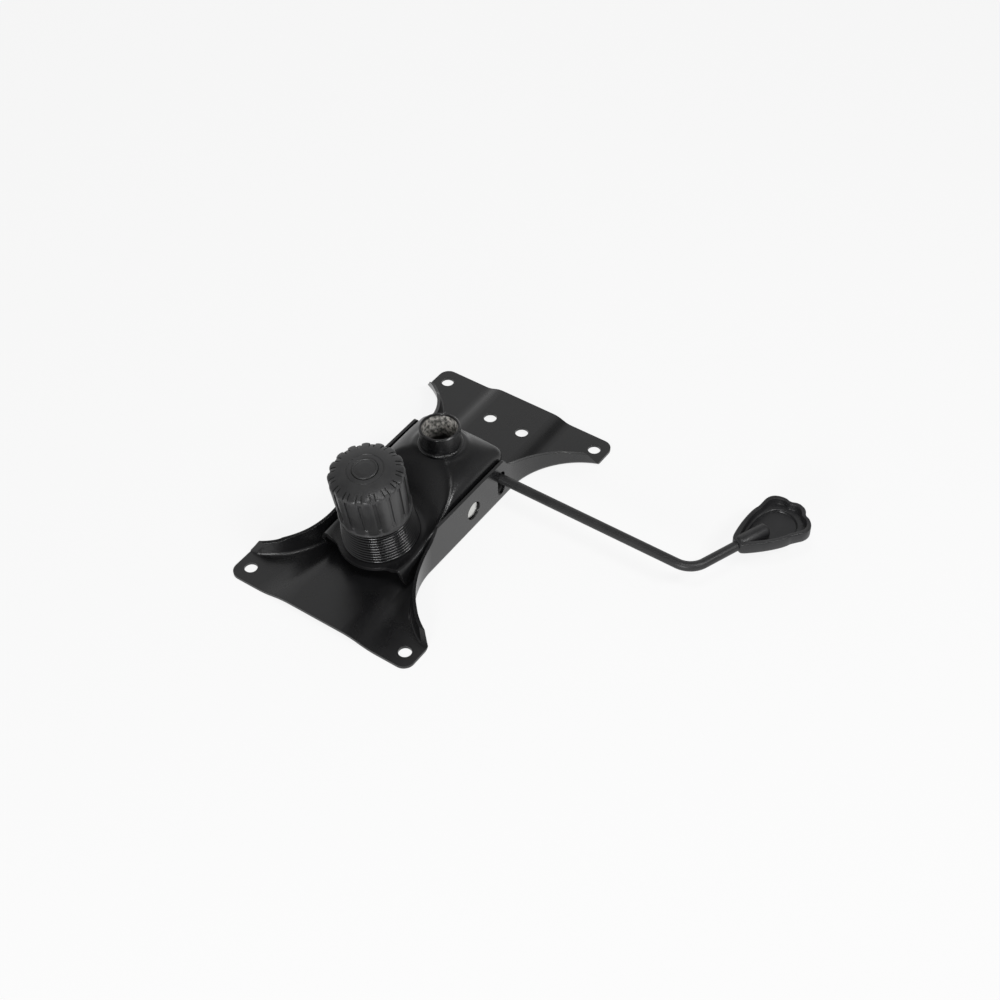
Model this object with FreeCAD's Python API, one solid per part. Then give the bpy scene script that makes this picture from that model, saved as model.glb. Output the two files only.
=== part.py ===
# Swivel tilt mechanism for an office chair, seat face down, as it lies in the picture.
# Millimetres. Origin in the middle of the seat bolt pattern on the seat face, X towards the
# lever, Y towards the rear, Z up.
import FreeCAD
import Part
import math
import os

Vector = FreeCAD.Vector
along_x = Vector(1, 0, 0)
along_y = Vector(0, 1, 0)
along_z = Vector(0, 0, 1)

# Seat plate
seat_sheet = 2.5
seat_half_width = 86.5
seat_half_length = 143.5
ear_corner_radius = 9.0
waist_half_width = 44.1
ear_side = 13.215
waist_arc_radius = 66.5
flange_height = 41.8
flange_lean_at_ear = 13.0
flange_bend_inner = 2.0
strip_rise = 4.0
strip_half_top = 31.0
waist_half_foot = 36.6
rear_half_foot = 40.0
front_half_top = 33.5
front_half_foot = 51.0
bolt_pitch_x = 150.0
bolt_inset_y = 13.5
bolt_hole_radius = 5.25
rear_pair_pitch = 32.0
rear_pair_inset = 33.5
rear_pair_radius = 5.5

# Tilt housing
housing_sheet = 3.0
housing_half_width = 39.2
housing_front = -84.5
housing_rear_step = 4.0
housing_corner = 8.0
housing_edge_round = 5.5
nose_radius = 34.7
nose_blend = 10.0
knob_angle = 8.6
knob_foot_y = -59.1
knob_foot_z = 25.7
pocket_foot_radius = 37.5
pocket_spread = 1.187
skirt_bottom = 8.0
rear_wall_bottom = 19.0
plateau_height = 57.9
plateau_radius = 19.0
plateau_blend = 6.0

# Column socket
socket_y = 20.5
socket_radius = 16.5
socket_bore = 14.0
socket_mouth_bore = 14.35
socket_low = 34.0
socket_high = 74.6
socket_land = 24.0
socket_clearance = 0.1

# Pivot
pivot_y = 2.5
pivot_z = 21.0
tilt_travel = 12.0
axle_radius = 7.9
axle_hole_radius = 8.0
running_gap = 0.05
bush_wall = 2.0
bush_flange_radius = 13.0
bush_flange = 0.8
clip_thickness = 1.0

# Lever
lever_inset = 10.5
lever_z = 25.5
rod_radius = 4.0
slot_width = 9.6
slot_low = 8.3
slot_high = 32.4
ball_radius = 7.0
ball_width = 5.6
lever_corner_x = 218.4
lever_corner_radius = 18.0
handle_angle = 68.5
handle_length_to_mouth = 43.6
rod_in_handle = 25.5
crank_x = 12.0
crank_radius = 12.0
clip_reach = 2.5
handle_height = 11.0
handle_wall = 4.0
handle_floor = 3.5
handle_half_width = 20.5
handle_lobe_radius = 11.0
handle_lobe_place = 52.5

# Knob, spring and bolt, measured along the bolt from the tongue
bolt_radius = 5.0
bolt_end = 76.0
head_radius = 7.5
sleeve_height = 29.8
sleeve_foot_radius = 31.0
sleeve_top_radius = 28.6
sleeve_ribs = 10
rib_depth = 1.9
wire_radius = 3.0
coil_radius = 20.5
coil_turns = 6.5
coil_low = 2.0
coil_high = 59.0
fit_gap = 0.05
seat_cup_sheet = 1.9
washer_sheet = 2.45
cup_collar = 4.0
thrust_radius = 13.0
thrust_sheet = 1.0
knob_low = 30.3
knob_rim = 73.0
knob_top = 78.0
knob_low_radius = 28.3
knob_rim_radius = 29.4
knob_bore = 25.5
flute_count = 16
slot_offset = 3.0
lobe_valley_radius = 28.4
nut_low = 62.7
nut_height = 6.3
nut_width = 17.0
cap_radius = 9.8

# Buffers
rest_buffer_x = 20.0
rest_buffer_inset = 9.5
rest_buffer_radius = 8.0
rest_buffer_gap = 0.35
tilt_buffer_x = 20.0
tilt_buffer_inset = 4.5
tilt_buffer_radius = 7.0
tilt_buffer_gap = 0.12

# Places that follow from these sizes
bend_outer = flange_bend_inner + seat_sheet
bend_arc_radius = waist_arc_radius + bend_outer
ear_arc_reach = waist_half_width + waist_arc_radius - seat_half_width
ear_arc_length = math.sqrt(bend_arc_radius ** 2 - ear_arc_reach ** 2)
waist_straight_half = seat_half_length - ear_corner_radius - ear_side - ear_arc_length
bolt_half_y = seat_half_length - bolt_inset_y
rear_pair_y = seat_half_length - rear_pair_inset
housing_rear = waist_straight_half - housing_rear_step
lever_y = housing_rear - lever_inset
washer_high = coil_high + fit_gap + washer_sheet
thrust_low = washer_high + 2 * fit_gap


def cylinder(radius, start, direction, length):
    return Part.makeCylinder(radius, length, start, direction)


def turned(profile, base=Vector(0, 0, 0)):
    # profile: radius and height pairs, turned about a vertical line through base
    points = [Vector(radius, 0, height) for radius, height in profile]
    face = Part.Face(Part.makePolygon(points + points[:1]))
    solid = face.revolve(Vector(0, 0, 0), along_z, 360)
    solid.translate(base)
    return solid


def turned_edges(edges):
    face = Part.Face(Part.Wire(Part.__sortEdges__(edges)))
    return face.revolve(Vector(0, 0, 0), along_z, 360)


def arc(first, middle, last):
    return Part.Arc(first, middle, last).toShape()


def line(first, last):
    return Part.LineSegment(first, last).toShape()


def arc_about(centre, radius, start_deg, end_deg):
    points = []
    for share in (0.0, 0.5, 1.0):
        angle = math.radians(start_deg + share * (end_deg - start_deg))
        points.append(centre + Vector(radius * math.cos(angle), radius * math.sin(angle), 0))
    return arc(*points)


def side_profile(points, half_width):
    # points: Y and Z pairs, extruded across X
    corners = [Vector(-half_width, y, z) for y, z in points]
    face = Part.Face(Part.makePolygon(corners + corners[:1]))
    return face.extrude(Vector(2 * half_width, 0, 0))


def mirrored_x(shape):
    return shape.mirror(Vector(0, 0, 0), along_x)


def mirrored_y(shape):
    return shape.mirror(Vector(0, 0, 0), along_y)


def closed_face(edges):
    return Part.Face(Part.Wire(Part.__sortEdges__(edges)))


def on_bolt(shape):
    # from the bolt's own frame to the assembly
    placed = shape.copy()
    placed.rotate(Vector(0, 0, 0), along_x, knob_angle)
    placed.translate(Vector(0, knob_foot_y, knob_foot_z))
    return placed


def smooth_step(value):
    share = min(max(value, 0.0), 1.0)
    return share * share * (3 - 2 * share)


def soft_min(first, second, reach):
    overlap = max(reach - abs(first - second), 0.0) / reach
    return min(first, second) - overlap * overlap * reach / 4


def soft_max(first, second, reach):
    return -soft_min(-first, -second, reach)


def save(name, shape):
    os.makedirs("parts", exist_ok=True)
    solids = shape.Solids
    result = solids[0] if len(solids) == 1 else Part.makeCompound(solids)
    result.exportStep("parts/" + name + ".step")
    print(name, "solids", len(solids), "valid", result.isValid(), "volume", round(result.Volume))


# Seat plate

ear_arc_centre = Vector(waist_half_width + waist_arc_radius, waist_straight_half, 0)
sheet_half_waist = waist_half_width - bend_outer


def plate_outline():
    last_angle = 180 - math.degrees(math.acos(ear_arc_reach / bend_arc_radius))
    join_y = waist_straight_half + ear_arc_length
    corner = Vector(seat_half_width - ear_corner_radius, seat_half_length - ear_corner_radius, 0)
    quarter = [
        line(Vector(sheet_half_waist, 0, 0), Vector(sheet_half_waist, waist_straight_half, 0)),
        arc_about(ear_arc_centre, bend_arc_radius, 180, last_angle),
        line(Vector(seat_half_width, join_y, 0), Vector(seat_half_width, corner.y, 0)),
        arc_about(corner, ear_corner_radius, 0, 90),
        line(Vector(corner.x, seat_half_length, 0), Vector(0, seat_half_length, 0)),
    ]
    half = quarter + [mirrored_x(edge) for edge in quarter]
    return half + [mirrored_y(edge) for edge in half]


def rounded_corners(corners, trims):
    # polyline with an arc at every inner corner, tangent at the given distance from it
    edges = []
    start = corners[0]
    for index, trim in enumerate(trims):
        corner = corners[index + 1]
        back = (corners[index] - corner).normalize()
        ahead = (corners[index + 2] - corner).normalize()
        half = back.getAngle(ahead) / 2
        first = corner + back * trim
        last = corner + ahead * trim
        radius = trim * math.tan(half)
        middle = corner + (back + ahead).normalize() * (radius / math.sin(half) - radius)
        edges.append(line(start, first))
        edges.append(arc(first, middle, last))
        start = last
    edges.append(line(start, corners[-1]))
    return edges


def strip_section(y, half_top, half_foot):
    # cross section of the whole sheet: flat, up to the raised middle, and flat again
    edge = seat_half_width + 5
    slope = math.atan2(strip_rise, half_foot - half_top)
    trim = 0.47 * math.hypot(strip_rise, half_foot - half_top)
    shift = seat_sheet * math.tan(slope / 2)
    below = [(-edge, 0), (-half_foot, 0), (-half_top, strip_rise)]
    below += [(-x, z) for x, z in reversed(below)]
    above = [(edge, seat_sheet), (half_foot - shift, seat_sheet)]
    above.append((half_top - shift, strip_rise + seat_sheet))
    above += [(-x, z) for x, z in reversed(above)]
    under = [Vector(x, y, z) for x, z in below]
    over = [Vector(x, y, z) for x, z in above]
    edges = rounded_corners(under, [trim, trim, trim, trim])
    edges.append(line(under[-1], over[0]))
    edges += rounded_corners(over, [trim - shift, trim + shift, trim + shift, trim - shift])
    edges.append(line(over[-1], under[0]))
    return Part.Wire(edges)


def pressed_strip():
    # steep sides at the waist, soft ones at the rear, and a fan that opens towards the front edge
    ends = seat_half_length + 5
    fan_y = -waist_straight_half - 5.5
    rear_start_y = waist_straight_half + 1.5
    rear_full_y = waist_straight_half + 23.5
    waist = strip_section(fan_y, strip_half_top, waist_half_foot)
    middle = Part.Face(waist).extrude(Vector(0, rear_start_y - fan_y, 0))
    rear_start = strip_section(rear_start_y, strip_half_top, waist_half_foot)
    rear_full = strip_section(rear_full_y, strip_half_top, rear_half_foot)
    rear = Part.makeLoft([rear_start, rear_full], True, True)
    wing = Part.Face(rear_full).extrude(Vector(0, ends - rear_full_y, 0))
    front = Part.makeLoft([strip_section(-ends, front_half_top, front_half_foot), waist], True, True)
    return middle.fuse([rear, wing, front])


def flange_section(lean):
    # outline of flat edge, bend and wall; the wall leans outwards by the given angle
    away = Vector(math.cos(lean), 0, -math.sin(lean))
    rise = Vector(math.sin(lean), 0, math.cos(lean)) * (flange_height + 2 - bend_outer)
    turn = (math.pi / 2 - lean) / 2
    halfway = Vector(math.sin(turn), 0, -math.cos(turn))
    centre = Vector(0, 0, bend_outer)
    outer = centre + away * bend_outer
    inner = centre + away * flange_bend_inner
    return [
        arc(Vector(0, 0, 0), centre + halfway * bend_outer, outer),
        line(outer, outer + rise),
        line(outer + rise, inner + rise),
        line(inner + rise, inner),
        arc(inner, centre + halfway * flange_bend_inner, Vector(0, 0, seat_sheet)),
        line(Vector(0, 0, seat_sheet), Vector(0, 0, 0)),
    ]


def flange_quarter():
    straight = Part.Face(Part.Wire(flange_section(0.0)))
    straight.translate(Vector(sheet_half_waist, 0, 0))
    straight = straight.extrude(Vector(0, waist_straight_half, 0))
    stations = 3
    sweep = 80.0
    wires = []
    for station in range(stations + 1):
        share = station / stations
        wire = Part.Wire(flange_section(math.radians(flange_lean_at_ear * share)))
        wire.translate(Vector(sheet_half_waist, waist_straight_half, 0))
        wire.rotate(ear_arc_centre, along_z, -sweep * share)
        wires.append(wire)
    curved = Part.makeLoft(wires, True, False)
    limit = Part.makeBox(seat_half_width, 2 * seat_half_length, flange_height + 12, Vector(0, -1, -5))
    return straight.fuse(curved.common(limit)).cut(flange_top_cutter())


def flange_top_cutter():
    # upper edge of the flange, read from the picture: distance behind the straight waist, and height
    falling = [(-12.0, flange_height), (-8.0, 38.4), (-4.5, 34.0), (0.0, 30.4), (5.5, 27.6),
               (15.5, 24.2), (25.5, 21.4), (35.5, 19.0), (46.5, 16.6), (57.5, 13.4)]
    points = [Vector(0, waist_straight_half + behind, height) for behind, height in falling]
    curve = Part.BSplineCurve()
    curve.interpolate(points, InitialTangent=Vector(0, 3, 0), FinalTangent=Vector(0, 3, -0.6))
    start = Vector(0, -1, flange_height)
    end_y = points[-1].y + 5.2
    edges = [
        line(start, points[0]),
        curve.toShape(),
        line(points[-1], Vector(0, end_y, seat_sheet)),
        line(Vector(0, end_y, seat_sheet), Vector(0, seat_half_length, seat_sheet)),
        line(Vector(0, seat_half_length, seat_sheet), Vector(0, seat_half_length, 60)),
        line(Vector(0, seat_half_length, 60), Vector(0, -1, 60)),
        line(Vector(0, -1, 60), start),
    ]
    return closed_face(edges).extrude(Vector(seat_half_width + 5, 0, 0))


def build_seat_plate():
    prism = closed_face(plate_outline()).extrude(Vector(0, 0, 40))
    prism.translate(Vector(0, 0, -5))
    plate = pressed_strip().common(prism)
    quarter = flange_quarter()
    half = quarter.fuse(mirrored_y(quarter))
    plate = plate.fuse([half, mirrored_x(half)]).removeSplitter()
    cuts = []
    for side in (-1, 1):
        for end in (-1, 1):
            spot = Vector(side * bolt_pitch_x / 2, end * bolt_half_y, -1)
            cuts.append(cylinder(bolt_hole_radius, spot, along_z, 10))
        spot = Vector(side * rear_pair_pitch / 2, rear_pair_y, -1)
        cuts.append(cylinder(rear_pair_radius, spot, along_z, 10))
    across = waist_half_width + 5
    cuts.append(cylinder(axle_hole_radius, Vector(-across, pivot_y, pivot_z), along_x, 2 * across))
    bolt_hole = Vector(0, bolt_point(strip_reach()).y, -1)
    cuts.append(cylinder(head_radius - 1.0, bolt_hole, along_z, 10))
    cuts.append(lever_slot())
    return plate.cut(cuts)


def lever_slot():
    start = waist_half_width - 6
    low = slot_low + slot_width / 2
    high = slot_high - slot_width / 2
    body = Part.makeBox(12, slot_width, high - low, Vector(start, lever_y - slot_width / 2, low))
    ends = [cylinder(slot_width / 2, Vector(start, lever_y, z), along_x, 12) for z in (low, high)]
    return body.fuse(ends)


def bolt_point(distance):
    lean = math.radians(knob_angle)
    return Vector(0, knob_foot_y - distance * math.sin(lean), knob_foot_z + distance * math.cos(lean))


def strip_reach():
    # how far down the bolt its line meets the underside of the raised strip
    return -(knob_foot_z - strip_rise) / math.cos(math.radians(knob_angle))


# Tilt housing

def tongue_height(y):
    return knob_foot_z + math.tan(math.radians(knob_angle)) * (y - knob_foot_y)


# side views of the housing's back, front to rear, as Y and Z: its edges, and its middle
edge_view = [(-52.0, 26.8), (-46.0, 29.5), (-38.0, 36.0), (-30.0, 41.0), (-8.0, 44.8),
             (20.0, 49.3), (49.5, 50.0)]
middle_view = [(-52.0, 37.0), (-30.0, 51.0), (-8.0, 55.8), (4.0, 57.6), (20.0, 58.1),
               (34.0, 57.2), (43.0, 54.4), (49.5, 51.0)]


def height_along(view, y):
    # smooth curve through the points of a side view
    if y <= view[0][0]:
        return view[0][1]
    if y >= view[-1][0]:
        return view[-1][1]
    slopes = []
    for index in range(len(view)):
        before = view[max(index - 1, 0)]
        after = view[min(index + 1, len(view) - 1)]
        slopes.append((after[1] - before[1]) / (after[0] - before[0]))
    for index in range(len(view) - 1):
        y0, z0 = view[index]
        y1, z1 = view[index + 1]
        if y <= y1:
            span = y1 - y0
            t = (y - y0) / span
            return ((2 * t ** 3 - 3 * t ** 2 + 1) * z0 + (t ** 3 - 2 * t ** 2 + t) * span * slopes[index]
                    + (3 * t ** 2 - 2 * t ** 3) * z1 + (t ** 3 - t ** 2) * span * slopes[index + 1])


def top_height(x, y):
    tongue = tongue_height(y)
    edge = height_along(edge_view, y) if y > edge_view[0][0] else tongue
    rise = height_along(middle_view, y) - edge
    across = min(abs(x) / housing_half_width, 1.0)
    back = edge + rise * (1 - across ** 3)
    from_socket = math.hypot(x, y - socket_y)
    share = smooth_step((plateau_radius + plateau_blend - from_socket) / plateau_blend)
    back += (plateau_height - back) * share
    ahead = (y - knob_foot_y) / math.cos(math.radians(knob_angle))
    pocket = tongue + (math.hypot(x, ahead) - pocket_foot_radius) / pocket_spread
    return soft_max(tongue, soft_min(pocket, back, 6.0), 4.4)


def height_face(depth):
    # the pressed top as one smooth surface; depth moves it inwards by the sheet
    step = 6.0
    rows = []
    for i in range(-8, 9):
        row = []
        for j in range(-19, 12):
            x = i * step
            y = j * step
            height = top_height(x, y)
            if depth > 0:
                slope_x = top_height(x + 1, y) - top_height(x - 1, y)
                slope_y = top_height(x, y + 1) - top_height(x, y - 1)
                height -= depth * math.sqrt(1 + slope_x ** 2 / 4 + slope_y ** 2 / 4)
            row.append(Vector(x, y, height))
        rows.append(row)
    surface = Part.BSplineSurface()
    surface.interpolate(rows)
    return surface.toShape()


def housing_outline():
    # right half of the plan, rear middle to nose middle
    corner = Vector(housing_half_width - housing_corner, housing_rear - housing_corner, 0)
    nose = Vector(0, knob_foot_y, 0)
    blend_y = housing_front - nose_blend
    reach = nose_radius + nose_blend
    blend_x = math.sqrt(reach ** 2 - (knob_foot_y - blend_y) ** 2)
    blend = Vector(blend_x, blend_y, 0)
    lean = math.degrees(math.atan2(knob_foot_y - blend_y, blend_x))
    half = [
        line(Vector(0, housing_rear, 0), Vector(corner.x, housing_rear, 0)),
        arc_about(corner, housing_corner, 90, 0),
        line(Vector(housing_half_width, corner.y, 0), Vector(housing_half_width, housing_front, 0)),
        line(Vector(housing_half_width, housing_front, 0), Vector(blend_x, housing_front, 0)),
        arc_about(blend, nose_blend, 90, 180 - lean),
        arc_about(nose, nose_radius, -lean, -90),
    ]
    return half + [mirrored_x(edge) for edge in half]


def cavity_outline():
    half_width = housing_half_width - housing_sheet
    rear = housing_rear - housing_sheet
    radius = housing_corner - housing_sheet
    corner = Vector(half_width - radius, rear - radius, 0)
    front = housing_front - 25
    half = [
        line(Vector(0, rear, 0), Vector(corner.x, rear, 0)),
        arc_about(corner, radius, 90, 0),
        line(Vector(half_width, corner.y, 0), Vector(half_width, front, 0)),
        line(Vector(half_width, front, 0), Vector(0, front, 0)),
    ]
    return half + [mirrored_x(edge) for edge in half]


def rim_edges(solid):
    found = []
    for edge in solid.Edges:
        middle = edge.valueAt((edge.FirstParameter + edge.LastParameter) / 2)
        first = edge.Vertexes[0].Point
        last = edge.Vertexes[-1].Point
        steep = abs(first.z - last.z) > 5 * math.hypot(first.x - last.x, first.y - last.y)
        beside = abs(abs(middle.x) - housing_half_width) < 0.05
        behind = middle.y > housing_rear - housing_corner - 0.05
        if middle.z > 10 and not steep and (beside or behind):
            found.append(edge)
    return found


def build_tilt_housing():
    body = closed_face(housing_outline()).extrude(Vector(0, 0, 90))
    body = body.cut(height_face(0).extrude(Vector(0, 0, 120)))
    body = body.makeFillet(housing_edge_round, rim_edges(body))
    hollow = closed_face(cavity_outline()).extrude(Vector(0, 0, 90))
    hollow.translate(Vector(0, 0, -5))
    hollow = hollow.cut(height_face(housing_sheet).extrude(Vector(0, 0, 120)))
    body = body.cut(hollow)
    under = [(-110, 16.0), (housing_front + 0.5, 17.5), (-80.5, skirt_bottom), (10, skirt_bottom),
             (44, 15), (60, 15), (60, -10), (-110, -10)]
    cuts = [side_profile(under, housing_half_width + 5)]
    inner = housing_half_width - housing_sheet
    cuts.append(Part.makeBox(2 * inner, 20, rear_wall_bottom + 10,
                             Vector(-inner, housing_rear - 10, -10)))
    across = housing_half_width + 5
    cuts.append(cylinder(axle_radius + running_gap + bush_wall + running_gap,
                         Vector(-across, pivot_y, pivot_z), along_x, 2 * across))
    cuts.append(cylinder(ball_radius + 0.1, Vector(20, lever_y, lever_z), along_x, 30))
    cuts.append(cylinder(socket_radius + socket_clearance, Vector(0, socket_y, 40), along_z, 40))
    cuts.append(on_bolt(cylinder(9.0, Vector(0, 0, -20), along_z, 30)))
    return body.cut(cuts)


# Column socket and its brace

def build_column_socket():
    profile = [
        (socket_bore, socket_low), (socket_radius - 0.6, socket_low),
        (socket_radius, socket_low + 0.6), (socket_radius, socket_high - 0.8),
        (socket_radius - 0.8, socket_high), (socket_mouth_bore + 0.4, socket_high),
        (socket_mouth_bore, socket_high - 0.6), (socket_bore, socket_low + socket_land),
    ]
    return turned(profile, Vector(0, socket_y, 0))


def build_weld_ring():
    foot = plateau_height + 0.25
    inner = socket_radius + 0.05
    profile = [(inner, foot), (inner + 1.6, foot), (inner + 1.1, foot + 1.2), (inner, foot + 2.0)]
    return turned(profile, Vector(0, socket_y, 0))


def build_socket_brace():
    low = 35.0
    sheet = 2.5
    half = housing_half_width - housing_sheet - 0.1
    front = 1.0
    rear = 43.5
    outer = Part.makeBox(2 * half, rear - front, 9, Vector(-half, front, low))
    inner = Part.makeBox(2 * (half - sheet), rear - front + 2, 9,
                         Vector(-(half - sheet), front - 1, low + sheet))
    bends = [edge for edge in outer.Edges
             if abs(edge.CenterOfMass.z - low) < 0.01 and abs(abs(edge.CenterOfMass.x) - half) < 0.01]
    folds = [edge for edge in inner.Edges
             if abs(edge.CenterOfMass.z - low - sheet) < 0.01
             and abs(abs(edge.CenterOfMass.x) - half + sheet) < 0.01]
    brace = outer.makeFillet(4.0, bends).cut(inner.makeFillet(1.5, folds))
    hole = cylinder(socket_radius + 0.05, Vector(0, socket_y, low - 1), along_z, 12)
    return brace.cut(hole)


# Pivot

def build_pivot_axle():
    reach = waist_half_width - 0.3
    clip_outer = waist_half_width - seat_sheet - 0.4
    groove_radius = axle_radius - 1.2
    profile = [(0, -reach), (axle_radius - 0.8, -reach), (axle_radius, -reach + 0.8)]
    for side in (-1, 1):
        near = side * clip_outer
        far = side * (clip_outer - clip_thickness - 0.1)
        first, second = (near, far) if side < 0 else (far, near)
        profile += [(axle_radius, first), (groove_radius, first)]
        profile += [(groove_radius, second), (axle_radius, second)]
    profile += [(axle_radius, reach - 0.8), (axle_radius - 0.8, reach), (0, reach)]
    return laid_across(turned(profile), pivot_y, pivot_z)


def laid_across(shape, y, z):
    placed = shape.copy()
    placed.rotate(Vector(0, 0, 0), along_y, 90)
    placed.translate(Vector(0, y, z))
    return placed


def build_axle_bushes():
    bore = axle_radius + running_gap
    barrel = bore + bush_wall
    start = housing_half_width - housing_sheet - 0.3
    flange_start = housing_half_width + 0.1
    flange_end = flange_start + bush_flange
    profile = [
        (bore, start), (barrel - 0.4, start), (barrel, start + 0.4), (barrel, flange_start),
        (bush_flange_radius, flange_start), (bush_flange_radius, flange_end - 0.3),
        (bush_flange_radius - 0.3, flange_end), (bore, flange_end),
    ]
    bush = laid_across(turned(profile), pivot_y, pivot_z)
    return Part.makeCompound([bush, mirrored_x(bush)])


def build_axle_clips():
    outer = waist_half_width - seat_sheet - 0.45
    ring = cylinder(11.0, Vector(0, 0, outer - clip_thickness), along_z, clip_thickness)
    ring = ring.cut(cylinder(axle_radius - 1.15, Vector(0, 0, 0), along_z, 60))
    opening = Part.makeBox(20, 9, 10, Vector(0, -4.5, outer - 5))
    ring = ring.cut(opening)
    for turn in (120, 240):
        lobe = cylinder(2.2, Vector(8.6, 0, outer - 5), along_z, 10)
        lobe.rotate(Vector(0, 0, 0), along_z, turn - 60)
        ring = ring.cut(lobe)
    clip = laid_across(ring, pivot_y, pivot_z)
    return Part.makeCompound([clip, mirrored_x(clip)])


# Bolt, spring, sleeve and knob, in the bolt's own frame

def build_tension_bolt():
    seat = strip_reach() - 0.35
    drop = head_radius * math.tan(math.radians(knob_angle + 0.9))
    groove_low = 73.95
    groove_high = 75.25
    edges = []
    outline = [(0, bolt_end), (bolt_radius - 0.8, bolt_end), (bolt_radius, bolt_end - 0.6)]
    outline += [(bolt_radius, groove_high), (4.4, groove_high), (4.4, groove_low)]
    outline += [(bolt_radius, groove_low), (bolt_radius, seat), (head_radius, seat - drop)]
    outline.append((head_radius, seat - drop - 0.7))
    points = [Vector(radius, 0, height) for radius, height in outline]
    for first, last in zip(points, points[1:]):
        edges.append(line(first, last))
    rounding = Vector(head_radius * 0.6, 0, seat - 2.9)
    bottom = Vector(0, 0, seat - 2.9)
    edges.append(line(points[-1], rounding))
    edges.append(line(rounding, bottom))
    edges.append(line(bottom, points[0]))
    return on_bolt(turned_edges(edges))


def build_bolt_stop_ring():
    ring = cylinder(7.4, Vector(0, 0, 74.0), along_z, 1.2)
    ring = ring.cut(cylinder(4.45, Vector(0, 0, 70), along_z, 10))
    return on_bolt(ring.cut(Part.makeBox(12, 5, 10, Vector(0, -2.5, 70))))


def spring_cup(flat_low, flat_high, collar_end):
    # plate with a collar that centres the spring from inside
    collar = coil_radius - wire_radius - 0.4
    inner = collar - 2.0
    outer = coil_radius + wire_radius + 0.6
    hole = bolt_radius + 1.6
    upward = collar_end > flat_high
    near, far = (flat_high, flat_low) if upward else (flat_low, flat_high)
    profile = [(hole, far), (outer, far), (outer, near), (collar, near), (collar, collar_end),
               (inner, collar_end), (inner, near), (hole, near)]
    return on_bolt(turned(profile))


def build_spring_sleeve():
    foot = 0.3
    pitch = (sleeve_height - foot) / sleeve_ribs
    fall = (sleeve_foot_radius - sleeve_top_radius) / (sleeve_ribs - 1)
    wall = 1.4
    outside = []
    inside = []
    for rib in range(sleeve_ribs):
        crest = sleeve_foot_radius - fall * rib
        low = foot + pitch * rib
        outside.append((crest - rib_depth, low))
        outside.append((crest, low + pitch / 2))
    outside.append((crest - rib_depth, sleeve_height))
    inside.append((crest - rib_depth - wall, sleeve_height))
    inside.append((coil_radius + wire_radius + 1.3, foot))
    return on_bolt(turned(outside + inside))


def coil_height(turn):
    # closer coils at both ends, even pitch between
    end_pitch = 2 * wire_radius + 0.7
    share = turn / coil_turns
    plain = end_pitch * turn
    rest = (coil_high - coil_low - 2 * wire_radius) - end_pitch * coil_turns
    ramp = smooth_step((share - 0.08) / 0.84)
    return coil_low + wire_radius + plain + rest * ramp


def build_tension_spring():
    # each turn is a ring of short straight lengths with mitred joints
    per_turn = 12
    outside = coil_radius / math.cos(math.pi / per_turn) ** 0.5
    points = []
    for index in range(int(coil_turns * per_turn) + 1):
        turn = index / per_turn
        angle = 2 * math.pi * turn
        points.append(Vector(outside * math.cos(angle), outside * math.sin(angle), coil_height(turn)))
    least = 1e9
    for index in range(len(points)):
        for other in range(index + per_turn // 2, len(points)):
            least = min(least, (points[index] - points[other]).Length)
    print("tension_spring least gap to itself", round(least - 2 * wire_radius, 2), "mm")
    path = Part.makePolygon(points)
    ring = Part.Wire(Part.makeCircle(wire_radius, points[0], points[1] - points[0]))
    return on_bolt(path.makePipeShell([ring], True, False, 1))


def build_thrust_washer():
    ring = cylinder(thrust_radius, Vector(0, 0, thrust_low), along_z, thrust_sheet)
    hole = cylinder(bolt_radius + 0.3, Vector(0, 0, thrust_low - 1), along_z, thrust_sheet + 2)
    return on_bolt(ring.cut(hole))


def hexagon(width, low, height):
    radius = width / math.sqrt(3)
    points = []
    for corner in range(6):
        angle = math.radians(60 * corner)
        points.append(Vector(radius * math.cos(angle), radius * math.sin(angle), low))
    return Part.Face(Part.makePolygon(points + points[:1])).extrude(Vector(0, 0, height))


def build_knob_nut():
    nut = hexagon(nut_width, nut_low, nut_height)
    return on_bolt(nut.cut(cylinder(bolt_radius + 0.05, Vector(0, 0, 60), along_z, 12)))


def knob_blank():
    rim = Vector(knob_rim_radius, 0, knob_rim - 0.8)
    crown = Vector(cap_radius + 0.2, 0, knob_top)
    shoulder = Vector(knob_rim_radius - 1.8, 0, knob_rim + 1.2)
    lip = knob_low_radius + 0.5
    dome = Vector(20, 0, knob_top - 1.2)
    edges = []
    outline = [rim, Vector(knob_rim_radius - 0.5, 0, knob_rim + 0.6), shoulder, dome, crown,
               Vector(cap_radius + 0.2, 0, 76.4), Vector(8.4, 0, 76.4),
               Vector(8.4, 0, nut_low), Vector(13.5, 0, nut_low), Vector(13.5, 0, 73.6),
               Vector(knob_bore - 2, 0, 71.6), Vector(knob_bore, 0, 69), Vector(knob_bore, 0, knob_low),
               Vector(lip - 0.4, 0, knob_low), Vector(lip, 0, knob_low + 0.4),
               Vector(lip, 0, knob_low + 1.6), Vector(knob_low_radius, 0, knob_low + 2.2), rim]
    for first, last in zip(outline, outline[1:]):
        edges.append(line(first, last))
    return turned_edges(edges)


def lobed_prism():
    # two flats to each wide lobe, and a narrow ridge between each two lobes
    period = 360 / flute_count
    half_lobe = period * 0.37
    points = []
    for flute in range(flute_count):
        middle = flute * period
        stops = [(lobe_valley_radius, middle - half_lobe), (knob_rim_radius, middle - half_lobe * 0.45),
                 (knob_rim_radius, middle + half_lobe * 0.45), (lobe_valley_radius, middle + half_lobe),
                 (knob_rim_radius - 0.7, middle + period / 2)]
        for radius, angle in stops:
            turn = math.radians(angle)
            points.append(Vector(radius * math.cos(turn), radius * math.sin(turn), knob_low - 5))
    return Part.Face(Part.makePolygon(points + points[:1])).extrude(Vector(0, 0, 60))


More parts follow.
